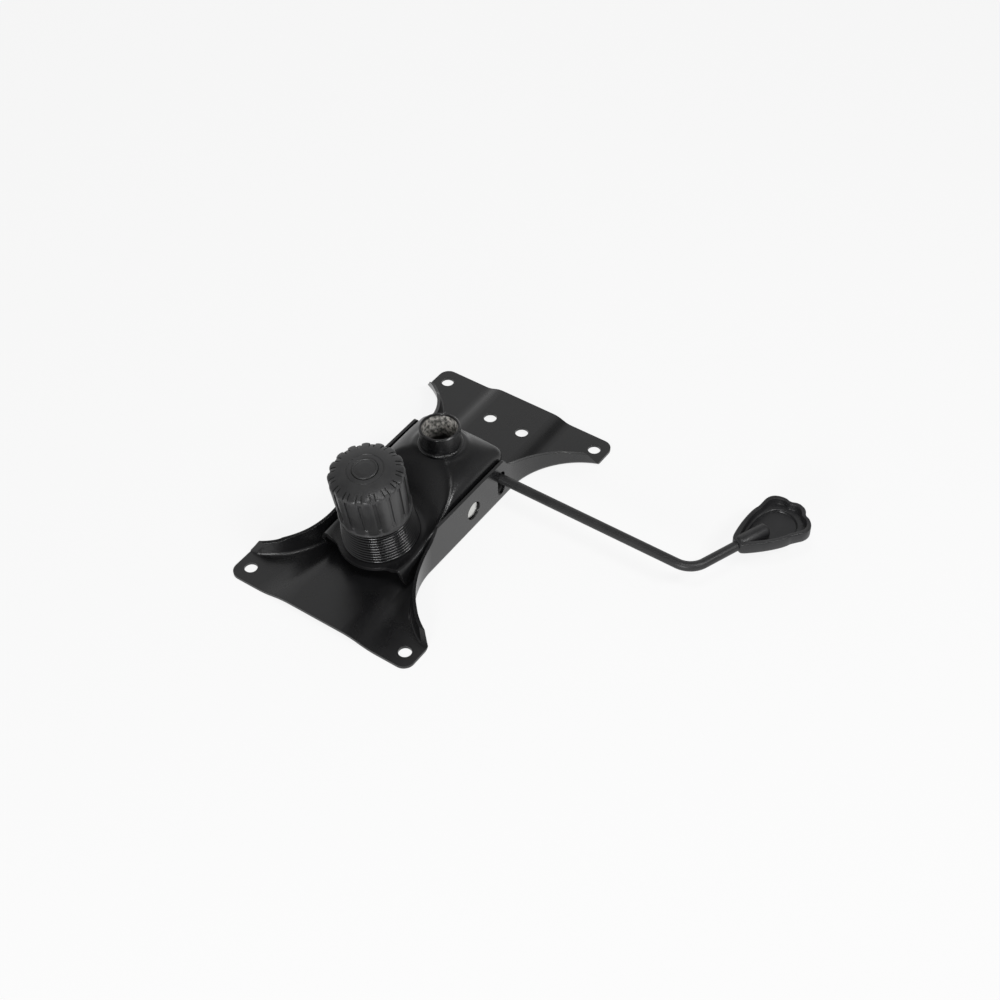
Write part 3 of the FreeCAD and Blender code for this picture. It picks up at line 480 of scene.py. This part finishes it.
def makeHousing(plan):
    work = bmesh.new()
    grid = housingGrid(plan, work)
    rim = grid[0] + [column[-1] for column in grid[1:-1]] + grid[-1][::-1]
    last = rim
    for step in range(1, plan["wallRows"] + 1):
        current = []
        for vertex in rim:
            x, y, top = (value / mm for value in vertex.co)
            z = top + (wallFoot(x, y, plan) - top) * step / plan["wallRows"]
            current.append(work.verts.new((x * mm, y * mm, z * mm)))
        for index in range(len(rim) - 1):
            work.faces.new((last[index], last[index + 1], current[index + 1], current[index]))
        last = current
    bmesh.ops.recalc_face_normals(work, faces=work.faces)
    if sum(face.normal.z * face.calc_area() for face in work.faces) < 0:
        bmesh.ops.reverse_faces(work, faces=work.faces)
    housing = meshPiece("pressedHousing", work)
    applyModifier(housing, "SOLIDIFY", thickness=plan["sheet"] * mm, offset=-1.0, use_even_offset=True)
    for axis, centre, radius, depth in plan["holes"]:
        clearSelection()
        bpy.ops.mesh.primitive_cylinder_add(
            vertices=plan["holeSteps"], radius=radius * mm, depth=depth * mm,
            location=[value * mm for value in centre], rotation=(0, math.pi / 2 if axis == "X" else 0, 0))
        drill = bpy.context.object
        applyModifier(housing, "BOOLEAN", operation="DIFFERENCE", object=drill, solver="EXACT")
        pick(drill)
        bpy.ops.object.delete()
    smoothPiece(housing, plan["smoothAngle"])
    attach(housing, "housing")
    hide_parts("tilt_housing")
    return housing


pressedHousing = makeHousing(housingPlan)
print("stage: housing", len(pressedHousing.data.polygons))


# Tension knob: 16 ribs, each a narrow recessed strip and a broad lobe

knobPlan = {"ribs": 16, "phase": 3.5, "lobeBulge": 0.55, "lobeSpan": 8.15, "stripDepth": 0.85, "pip": 0.5,
            "stripHalf": 3.0, "slotEnd": 5.0, "smoothAngle": 28,
            # angles within one rib, from the middle of the narrow strip
            "angles": [0, 1.7, 1.9, 2.9, 3.1, 4.9, 5.1, 6.5, 8.2, 9.8, 11.25, 12.7, 14.3, 16.0, 17.4, 17.6,
                       19.4, 19.6, 20.6, 20.8],
            # radius and height; then share of the lobes, notch into the side, slot down from the top, pip and
            # the strip's further depth, each 0 where it isn't given
            "ringValues": 7,
            "rings": [(26.2, 30.3), (28.4, 30.3), (28.8, 30.7), (28.8, 31.8), (28.5, 32.2), (28.3, 32.8, 0.2),
                      (28.33, 33.3, 0.4), (28.37, 34.9, 1), (28.4, 35.4, 1, 0, 0, 1), (28.42, 36.2, 1, 0, 0, 1),
                      (28.44, 36.8, 1), (28.46, 37.5, 1, 0, 0, 0, 0.7), (28.7, 46.0, 1, 0, 0, 0, 0.7),
                      (28.95, 55.0, 1, 0, 0, 0, 0.7), (29.25, 66.5, 1, 0, 0, 0, 0.7),
                      (29.3, 68.6, 1.1, 0, 0, 0, 0.6), (29.38, 69.6, 1.5, 0.2), (29.4, 70.4, 1.8, 0.4),
                      (29.4, 71.9, 1.9, 0.5), (29.3, 72.6, 1.9, 0.5, 0.6), (28.95, 73.3, 1.9, 0.4, 1.4),
                      (28.3, 73.9, 1.8, 0.2, 1.8), (27.1, 74.5, 1.5, 0, 1.9), (25.4, 75.2, 0.9, 0, 1.7),
                      (23.4, 75.9, 0.3, 0, 1.2), (22.9, 76.05, 0.1), (20.0, 76.75), (17.5, 77.2), (15.2, 77.5),
                      (14.6, 77.5), (14.4, 77.25), (13.9, 77.25), (13.7, 77.6), (11.2, 77.95), (10.5, 77.95),
                      (10.1, 77.7), (10.0, 77.2), (10.0, 76.4), (8.4, 76.35), (8.4, 62.7), (13.5, 62.65),
                      (13.5, 73.2), (23.5, 71.2), (26.2, 68.5)]}


def makeKnob(plan):
    rings = [ring + (0,) * (plan["ringValues"] - len(ring)) for ring in plan["rings"]]
    perRib = len(plan["angles"])
    ribAngle = 360 / plan["ribs"]
    outline = [ring[:2] for ring in rings + rings[:1]]
    knob = turnedPiece("tensionKnobGrip", outline, plan["ribs"] * perRib)
    for vertex in knob.data.vertices:
        radius = math.hypot(vertex.co.x, vertex.co.y) / mm
        height = vertex.co.z / mm
        nearest = min(rings, key=lambda ring: abs(ring[0] - radius) + abs(ring[1] - height))
        lobes, notch, slot, pip, recess = nearest[2:]
        count = round(math.degrees(math.atan2(vertex.co.y, vertex.co.x)) / ribAngle * perRib)
        rib, step = divmod(count, perRib)
        angle = plan["angles"][step]
        fromStrip = min(angle, ribAngle - angle)
        if fromStrip < plan["stripHalf"]:
            radius -= lobes * plan["stripDepth"] + recess
        else:
            radius -= lobes * plan["lobeBulge"] * ((ribAngle / 2 - fromStrip) / plan["lobeSpan"]) ** 2
            if fromStrip < plan["slotEnd"]:
                radius -= notch
                height -= slot
        if pip and angle == 0:
            radius += plan["pip"]
        turn = math.radians(rib * ribAngle + angle + plan["phase"])
        vertex.co = (radius * mm * math.cos(turn), radius * mm * math.sin(turn), height * mm)
    settle(knob, boltPlace, plan["smoothAngle"])
    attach(knob, "knob")
    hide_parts("tension_knob")
    return knob


knobGrip = makeKnob(knobPlan)
print("stage: knob")


# Pleated sleeve round the spring

sleevePlan = {"ribs": 10, "foot": 0.3, "height": 28.6, "footRadius": 31.0, "topRadius": 28.0, "depth": 2.35,
              "wall": 1.1, "taper": 0.6, "steps": 128, "smoothAngle": 60, "keep": 0.48,
              # one pleat: share of its height and how far out
              "pleat": [(0.0, 0.0), (0.16, 0.0), (0.26, 0.5), (0.34, 0.85), (0.45, 1.0), (0.6, 1.0),
                        (0.71, 0.85), (0.8, 0.5), (0.9, 0.0)]}


def makeSleeve(plan):
    pitch = (plan["height"] - plan["foot"]) / plan["ribs"]
    fall = (plan["footRadius"] - plan["topRadius"]) / (plan["ribs"] - 1)
    points = []
    for rib in range(plan["ribs"]):
        crest = plan["footRadius"] - fall * rib
        for along, out in plan["pleat"]:
            points.append((crest - plan["depth"] * (1 - out), plan["foot"] + pitch * (rib + along)))
    top = plan["topRadius"] - plan["depth"]
    inner = top - plan["wall"]
    points += [(top, plan["height"]), (inner, plan["height"]), (inner - plan["taper"], plan["foot"]), points[0]]
    sleeve = turnedPiece("springSleevePleats", points, plan["steps"])
    settle(sleeve, boltPlace, plan["smoothAngle"])
    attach(sleeve, "housing")
    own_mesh(sleeve)
    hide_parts("spring_sleeve")
    return sleeve


sleevePleats = makeSleeve(sleevePlan)
print("stage: sleeve")


# Compression spring inside the sleeve

coilPlan = {"wire": 2.5, "radius": 19.9, "turns": 6.5, "low": 2.0, "high": 59.0, "endPitch": 6.7,
            "endShare": 0.08, "steps": 40, "round": 16, "smoothAngle": 50, "keep": 0.69}


def coilRise(share, plan):
    # closer coils at both ends
    closed = plan["endPitch"] * plan["turns"]
    rest = plan["high"] - plan["low"] - 2 * plan["wire"] - closed
    return closed * share + rest * ease((share - plan["endShare"]) / (1 - 2 * plan["endShare"]))


def makeCoil(plan):
    clearSelection()
    bpy.ops.mesh.primitive_circle_add(vertices=plan["round"], radius=plan["wire"] * mm, fill_type="NGON",
                                      rotation=(math.pi / 2, 0, 0), location=(plan["radius"] * mm, 0, 0))
    coil = bpy.context.object
    coil.name = coil.data.name = "tensionCoil"
    bpy.ops.object.transform_apply(location=True, rotation=True, scale=True)
    bpy.ops.object.mode_set(mode="EDIT")
    bpy.ops.mesh.select_all(action="SELECT")
    total = int(plan["turns"] * plan["steps"])
    bpy.ops.mesh.spin(steps=total, angle=2 * math.pi * plan["turns"], center=(0, 0, 0), axis=(0, 0, 1))
    bpy.ops.object.mode_set(mode="OBJECT")
    for vertex in coil.data.vertices:
        share = min(vertex.index // plan["round"], total) / total
        vertex.co.z += (plan["low"] + plan["wire"] + coilRise(share, plan)) * mm
    pick(coil)
    bpy.ops.object.mode_set(mode="EDIT")
    bpy.ops.mesh.select_all(action="SELECT")
    bpy.ops.mesh.normals_make_consistent(inside=False)
    bpy.ops.object.mode_set(mode="OBJECT")
    settle(coil, boltPlace, plan["smoothAngle"])
    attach(coil, "housing")
    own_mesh(coil)
    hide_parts("tension_spring")
    return coil


tensionCoil = makeCoil(coilPlan)
print("stage: spring")


# Cross shaft, its ends set back in the flanges' holes

shaftPlan = {"radius": 7.9, "reach": 42.3, "chamfer": 1.0, "markRadius": 2.5, "markDepth": 0.3,
             "y": 2.5, "z": 21.0, "steps": 96, "smoothAngle": 30}


def makeShaft(plan):
    end = [(0, plan["reach"] - plan["markDepth"]), (plan["markRadius"], plan["reach"]),
           (plan["radius"] - plan["chamfer"], plan["reach"]), (plan["radius"], plan["reach"] - plan["chamfer"])]
    points = [(radius, -height) for radius, height in end] + end[::-1]
    shaft = turnedPiece("crossShaft", points, plan["steps"])
    place = Matrix.Translation((0, plan["y"] * mm, plan["z"] * mm)) @ Matrix.Rotation(math.pi / 2, 4, "Y")
    settle(shaft, place, plan["smoothAngle"])
    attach(shaft, "seat")
    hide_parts("pivot_axle")
    return shaft


crossShaft = makeShaft(shaftPlan)
print("stage: shaft")


# Weld bead round the column socket

beadPlan = {"y": 20.5, "inner": 16.4, "foot": 57.8, "sunk": 0.4, "width": 1.9, "height": 1.5, "quarter": 8,
            "steps": 240, "smoothAngle": 60,
            # uneven run of the bead: share of its size, waves round the socket, start
            "wander": [(0.06, 3, 0.8), (0.04, 7, 2.0)], "ripples": 60, "rippleShare": 0.035, "rippleLean": 5,
            # share of width and height up to which the inner wall and the sunk foot stay as they are
            "still": 0.05}


def makeBead(plan):
    inner, foot, width, height = (plan[key] for key in ("inner", "foot", "width", "height"))
    points = []
    for step in range(plan["quarter"] + 1):
        turn = math.pi / 2 * step / plan["quarter"]
        points.append((inner + width * math.cos(turn), foot + height * math.sin(turn)))
    points += [(inner, foot - plan["sunk"]), (inner + width, foot - plan["sunk"]), points[0]]
    bead = turnedPiece("socketWeldBead", points, plan["steps"])
    for vertex in bead.data.vertices:
        angle = math.atan2(vertex.co.y, vertex.co.x)
        out = (math.hypot(vertex.co.x, vertex.co.y) / mm - inner) / width
        up = (vertex.co.z / mm - foot) / height
        swell = sum(share * math.sin(waves * angle + start) for share, waves, start in plan["wander"])
        swell += plan["rippleShare"] * math.sin(plan["ripples"] * angle + plan["rippleLean"] * up)
        if out > plan["still"] and up > -plan["still"]:
            vertex.co.x *= 1 + swell * width / inner * out
            vertex.co.y *= 1 + swell * width / inner * out
            vertex.co.z += swell * height * up * mm
    settle(bead, Matrix.Translation((0, plan["y"] * mm, 0)), plan["smoothAngle"])
    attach(bead, "housing")
    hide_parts("socket_weld_ring")
    return bead


weldBead = makeBead(beadPlan)
print("stage: weld bead")


# Paddle handle, modelled along X from its mouth and then turned into place

handlePlan = {"corner": (218.4, 40.0), "turn": 68.5, "toMouth": 43.6, "low": 20.0, "smoothAngle": 32,
              "bossRadius": 6.4, "bossFrom": 1.6, "bossTo": 29.5, "bossMiddle": 6.2, "bossSteps": 48,
              "bossRound": 2.8, "bossRoundSteps": 6, "bossRoundAngle": 60}
# outside, inside of the wall and edge of the floor: distance from the mouth and half width
handleOutside = [(0, 3.4), (0.6, 5.2), (3.0, 7.2), (8.0, 10.0), (14.0, 12.9), (20.0, 15.4),
                 (26.0, 17.5), (31.0, 18.9), (35.0, 19.6), (37.5, 19.7), (40.0, 20.3), (43.5, 21.4),
                 (47.5, 22.6), (51.5, 22.8), (55.0, 21.7), (57.8, 19.4), (59.8, 16.6), (61.0, 13.8),
                 (61.4, 11.8), (61.4, 10.2), (62.3, 8.0), (64.4, 5.6), (65.8, 2.8), (66.0, 0)]
handleInside = [(4.2, 1.2), (4.8, 2.2), (6.5, 3.9), (10.0, 6.2), (15.0, 8.9), (20.5, 11.5),
                (26.0, 13.7), (30.8, 15.1), (34.8, 16.0), (37.3, 16.2), (39.6, 16.7), (43.0, 17.8),
                (47.0, 18.9), (50.6, 19.1), (53.5, 18.2), (55.8, 16.4), (57.2, 14.4), (58.1, 12.4),
                (58.3, 10.9), (58.3, 9.4), (59.0, 7.0), (60.6, 4.8), (61.8, 2.4), (62.2, 0)]
handleFloor = [(9.0, 0.8), (9.6, 2.0), (11.0, 3.4), (13.5, 5.2), (17.5, 7.6), (22.0, 9.9),
               (26.5, 11.8), (30.5, 13.1), (33.8, 13.9), (36.0, 14.2), (38.2, 14.5), (41.2, 14.7),
               (44.5, 14.4), (47.3, 13.7), (49.8, 12.5), (51.4, 11.3), (52.8, 9.9), (53.9, 8.2),
               (54.7, 6.6), (55.2, 5.2), (55.5, 4.0), (55.8, 2.7), (56.0, 1.3), (56.05, 0)]
# outline, then for each ring on it the move towards the inside and the height above the bottom
handleRings = [
    (handleOutside, [(2.6, 0.0), (1.5, 0.3), (0.7, 0.9), (0.2, 1.8), (0.0, 2.8), (0.0, 10.2), (0.2, 10.7),
                     (0.6, 11.0)]),
    (handleInside, [(-0.7, 11.0), (-0.25, 10.75), (0.0, 10.2), (0.25, 6.4), (0.6, 5.8)]),
    (handleFloor, [(-0.5, 5.4), (-0.1, 5.1), (0.2, 4.0), (0.7, 3.4)]),
]


def smoothLine(points, parts):
    # smooth line through the points, with the given number of steps between each two
    out = []
    for index in range(len(points) - 1):
        before = Vector(points[max(index - 1, 0)])
        first = Vector(points[index])
        second = Vector(points[index + 1])
        after = Vector(points[min(index + 2, len(points) - 1)])
        for part in range(parts):
            t = part / parts
            out.append(first + (second - before) * (t / 2)
                       + (2 * before - 5 * first + 4 * second - after) * (t * t / 2)
                       + (3 * first - before - 3 * second + after) * (t ** 3 / 2))
    out.append(Vector(points[-1]))
    return out


def closedOutline(points, inward):
    half = smoothLine(points, 3)
    line = [Vector((point.x, -point.y)) for point in half] + half[-2::-1]
    moved = []
    for index, point in enumerate(line):
        along = (line[(index + 1) % len(line)] - line[index - 1]).normalized()
        moved.append(point + Vector((-along.y, along.x)) * inward)
    return moved


def loftRings(name, rings):
    # walls between outlines of one count, closed at both ends: no operator follows two outlines at once
    work = bmesh.new()
    loops = [[work.verts.new(point) for point in ring] for ring in rings]
    work.faces.new(loops[0])
    for low, high in zip(loops, loops[1:]):
        for index in range(len(low)):
            work.faces.new((low[index - 1], low[index], high[index], high[index - 1]))
    work.faces.new(loops[-1])
    bmesh.ops.recalc_face_normals(work, faces=work.faces)
    return meshPiece(name, work)


def makeBoss(plan):
    # the round socket that takes the lever's end
    clearSelection()
    start, end = plan["bossFrom"], plan["bossTo"]
    bpy.ops.mesh.primitive_cylinder_add(
        vertices=plan["bossSteps"], radius=plan["bossRadius"] * mm, depth=(end - start) * mm,
        location=((end + start) / 2 * mm, 0, plan["bossMiddle"] * mm), rotation=(0, math.pi / 2, 0))
    boss = bpy.context.object
    boss.name = boss.data.name = "handleBoss"
    bpy.ops.object.transform_apply(location=True, rotation=True, scale=True)
    applyModifier(boss, "BEVEL", width=plan["bossRound"] * mm, segments=plan["bossRoundSteps"],
                  limit_method="ANGLE", angle_limit=math.radians(plan["bossRoundAngle"]))
    return boss


def makeHandle(plan, rings):
    walls = []
    for outline, moves in rings:
        for inward, height in moves:
            line = closedOutline(outline, inward)
            walls.append([(point.x * mm, point.y * mm, height * mm) for point in line])
    handle = loftRings("paddleHandle", walls)
    boss = makeBoss(plan)
    pick(handle)
    boss.select_set(True)
    bpy.ops.object.join()
    turn = math.radians(plan["turn"])
    ahead = Vector((math.cos(turn), math.sin(turn), 0))
    mouth = Vector((*plan["corner"], plan["low"])) + ahead * plan["toMouth"]
    settle(handle, Matrix.Translation(mouth * mm) @ Matrix.Rotation(turn, 4, "Z"), plan["smoothAngle"])
    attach(handle, "lever")
    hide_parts("lever_handle")
    return handle


paddle = makeHandle(handlePlan, handleRings)
print("stage: handle")


# Rubber buffers under the housing, two of each

bufferPlan = [
    {"node": "rest_buffers", "name": "restBuffer", "x": 20.0, "y": -70.0, "radius": 6.5, "top": 19.6},
    {"node": "tilt_buffers", "name": "tiltBuffer", "x": 20.0, "y": 46.0, "radius": 7.0, "top": 8.3},
]
# half the section of a buffer: low is in from the radius and up from the foot, high is in and down from the
# top, and dimple is the radius and down from the top
bufferShape = {"foot": 6.5, "steps": 48, "smoothAngle": 40, "low": [(0.5, 0), (0, 0.5)],
               "high": [(0.2, 1.5), (0.6, 0.5), (1.5, 0)], "dimple": [(2.6, 0), (2.2, 0.5), (0, 0.7)]}


def makeBuffers(plan, shape):
    foot, top, wide = shape["foot"], plan["top"], plan["radius"]
    points = ([(0, foot)] + [(wide - inward, foot + up) for inward, up in shape["low"]]
              + [(wide - inward, top - down) for inward, down in shape["high"]]
              + [(radius, top - down) for radius, down in shape["dimple"]])
    made = []
    for side, tag in ((-1, "Left"), (1, "Right")):
        buffer = turnedPiece(plan["name"] + tag, points, shape["steps"])
        settle(buffer, Matrix.Translation((side * plan["x"] * mm, plan["y"] * mm, 0)), shape["smoothAngle"])
        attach(buffer, "seat")
        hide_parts(plan["node"])
        made.append(buffer)
    return made


buffers = [buffer for plan in bufferPlan for buffer in makeBuffers(plan, bufferShape)]
print("stage: buffers")


# Finishes

# how far edges are read as round, in metres
edgePlan = {"samples": 6, "coat": 0.0005, "socket": 0.0004, "small": 0.0003}


def edgedMaterial(name, finish, edge):
    # the same grain, with the sheet's and the mouldings' edges read as slightly rounded
    material = grainMaterial(name, finish)
    tree = material.node_tree
    rounded = addNode(tree, "Bevel", {"Radius": edgePlan[edge]}, samples=edgePlan["samples"])
    wire(tree, (rounded, "Normal", tree.nodes["Bump"], "Normal"))
    return material


# painted shade in the bore: full colour down to shallow mm below the top, darkened to the given share of it at
# deep mm
borePlan = {"y": 20.5, "bore": 14.38, "edge": 0.06, "top": 74.6, "lip": 1.6, "lipFade": 0.4,
            "shallow": 13.0, "deep": 24.0, "deepShadeShare": 0.04, "spotScale": 420.0, "spotDetail": 5.0,
            "spotRange": (0.4, 0.62), "spotStretch": 0.8, "darkMetal": (0.14, 0.14, 0.13),
            "lightMetal": (0.8, 0.77, 0.73), "rough": 0.5, "metal": 0.35}


def socketMaterial(name, finish, plan):
    # black outside; in the bore spotted bare steel, with painted shade that darkens it with depth
    material = edgedMaterial(name, finish, "socket")
    tree = material.node_tree
    shader = tree.nodes["Principled BSDF"]
    coat = next(node for node in tree.nodes if node.type == "GROUP")
    place = addNode(tree, "TexCoord")
    parts = addNode(tree, "SeparateXYZ")
    # 1 inside the bore and below its lip
    centre = addNode(tree, "Mapping", {"Location": (0, -plan["y"] * mm, 0)})
    flat = addNode(tree, "VectorMath", {1: (1, 1, 0)}, operation="MULTIPLY")
    reach = addNode(tree, "VectorMath", operation="LENGTH")
    inside = addRange(tree, plan["bore"] * mm, (plan["bore"] + plan["edge"]) * mm, 1.0, 0.0)
    lipFoot = plan["top"] - plan["lip"]
    lip = addRange(tree, (lipFoot - plan["lipFade"]) * mm, lipFoot * mm, 1.0, 0.0)
    shown = addNode(tree, "Math", operation="MULTIPLY")
    # spotted metal, with painted shade: darker with depth down the bore
    depth = addRange(tree, (plan["top"] - plan["deep"]) * mm, (plan["top"] - plan["shallow"]) * mm,
                     plan["deepShadeShare"])
    stretch = addNode(tree, "Mapping", {"Scale": (1.0, 1.0, plan["spotStretch"])})
    drawn = addNode(tree, "TexNoise", {"Scale": plan["spotScale"], "Detail": plan["spotDetail"]})
    spotted = addRange(tree, *plan["spotRange"])
    tint = addNode(tree, "Mix", {"A": (*plan["darkMetal"], 1), "B": (*plan["lightMetal"], 1)}, data_type="RGBA")
    # painted shade: the steel tint scaled down with depth
    depthShade = addNode(tree, "VectorMath", operation="SCALE")
    colour = addNode(tree, "Mix", data_type="RGBA")
    rough = addNode(tree, "Mix", {"B": plan["rough"]})
    metal = addNode(tree, "Math", {1: plan["metal"]}, operation="MULTIPLY")
    wire(tree, (place, "Object", centre, "Vector"), (centre, "Vector", flat, 0), (flat, "Vector", reach, 0),
         (reach, "Value", inside, "Value"), (place, "Object", parts, "Vector"), (parts, "Z", lip, "Value"),
         (inside, "Result", shown, 0), (lip, "Result", shown, 1), (parts, "Z", depth, "Value"),
         (place, "Object", stretch, "Vector"), (stretch, "Vector", drawn, "Vector"),
         (drawn, "Fac", spotted, "Value"), (spotted, "Result", tint, "Factor"),
         (tint, "Result", depthShade, 0), (depth, "Result", depthShade, "Scale"),
         (shown, "Value", colour, "Factor"), (coat, "Color", colour, "A"), (depthShade, "Vector", colour, "B"),
         (shown, "Value", rough, "Factor"), (coat, "Roughness", rough, "A"), (shown, "Value", metal, 0),
         (colour, "Result", shader, "Base Color"), (rough, "Result", shader, "Roughness"),
         (metal, "Value", shader, "Metallic"))
    return material


finishes = {
    "coat": edgedMaterial("powderCoatBlack", powderCoat, "coat"),
    "socket": socketMaterial("socketSteel", powderCoat, borePlan),
    "zinc": edgedMaterial("zincPlated", zincPlate, "small"),
    "spring": grainMaterial("springSteelDark", springSteel),
    "rod": grainMaterial("rodCoating", rodCoat),
    "knob": grainMaterial("knobPlasticGrain", knobPlastic),
    "cap": edgedMaterial("capPlasticGrain", knobPlastic, "small"),
    "handle": grainMaterial("handlePlasticGrain", handlePlastic),
    "sleeve": grainMaterial("sleevePlasticGloss", sleevePlastic),
    "nylon": edgedMaterial("blackNylonMatt", blackNylon, "small"),
    "rubber": grainMaterial("softRubberMatt", softRubber),
}
# the nodes that new pieces replace get the plain coat too
nodeFinish = {
    "coat": ["seat_plate", "socket_brace", "tilt_housing", "pivot_axle", "socket_weld_ring", "tension_spring",
             "lever_handle", "tension_knob", "spring_sleeve", "rest_buffers", "tilt_buffers"],
    "socket": ["column_socket"],
    "zinc": ["tension_bolt", "spring_seat", "pressure_washer", "thrust_washer", "knob_nut"],
    "spring": ["axle_clips", "bolt_stop_ring", "lever_clip"],
    "rod": ["lever_rod"],
    "cap": ["knob_cap"],
    "nylon": ["axle_bushes", "lever_bush"],
}
pieceFinish = {"coat": [pressedHousing, weldBead], "knob": [knobGrip], "sleeve": [sleevePleats],
               "spring": [tensionCoil], "zinc": [crossShaft], "handle": [paddle], "rubber": buffers}


def dress(piece, material):
    if piece.material_slots:
        for place in piece.material_slots:
            place.material = material
    else:
        piece.data.materials.append(material)


for key, names in nodeFinish.items():
    for nodeName in names:
        dress(nodes[nodeName], finishes[key])
for key, pieces in pieceFinish.items():
    for piece in pieces:
        dress(piece, finishes[key])
print("stage: finishes")
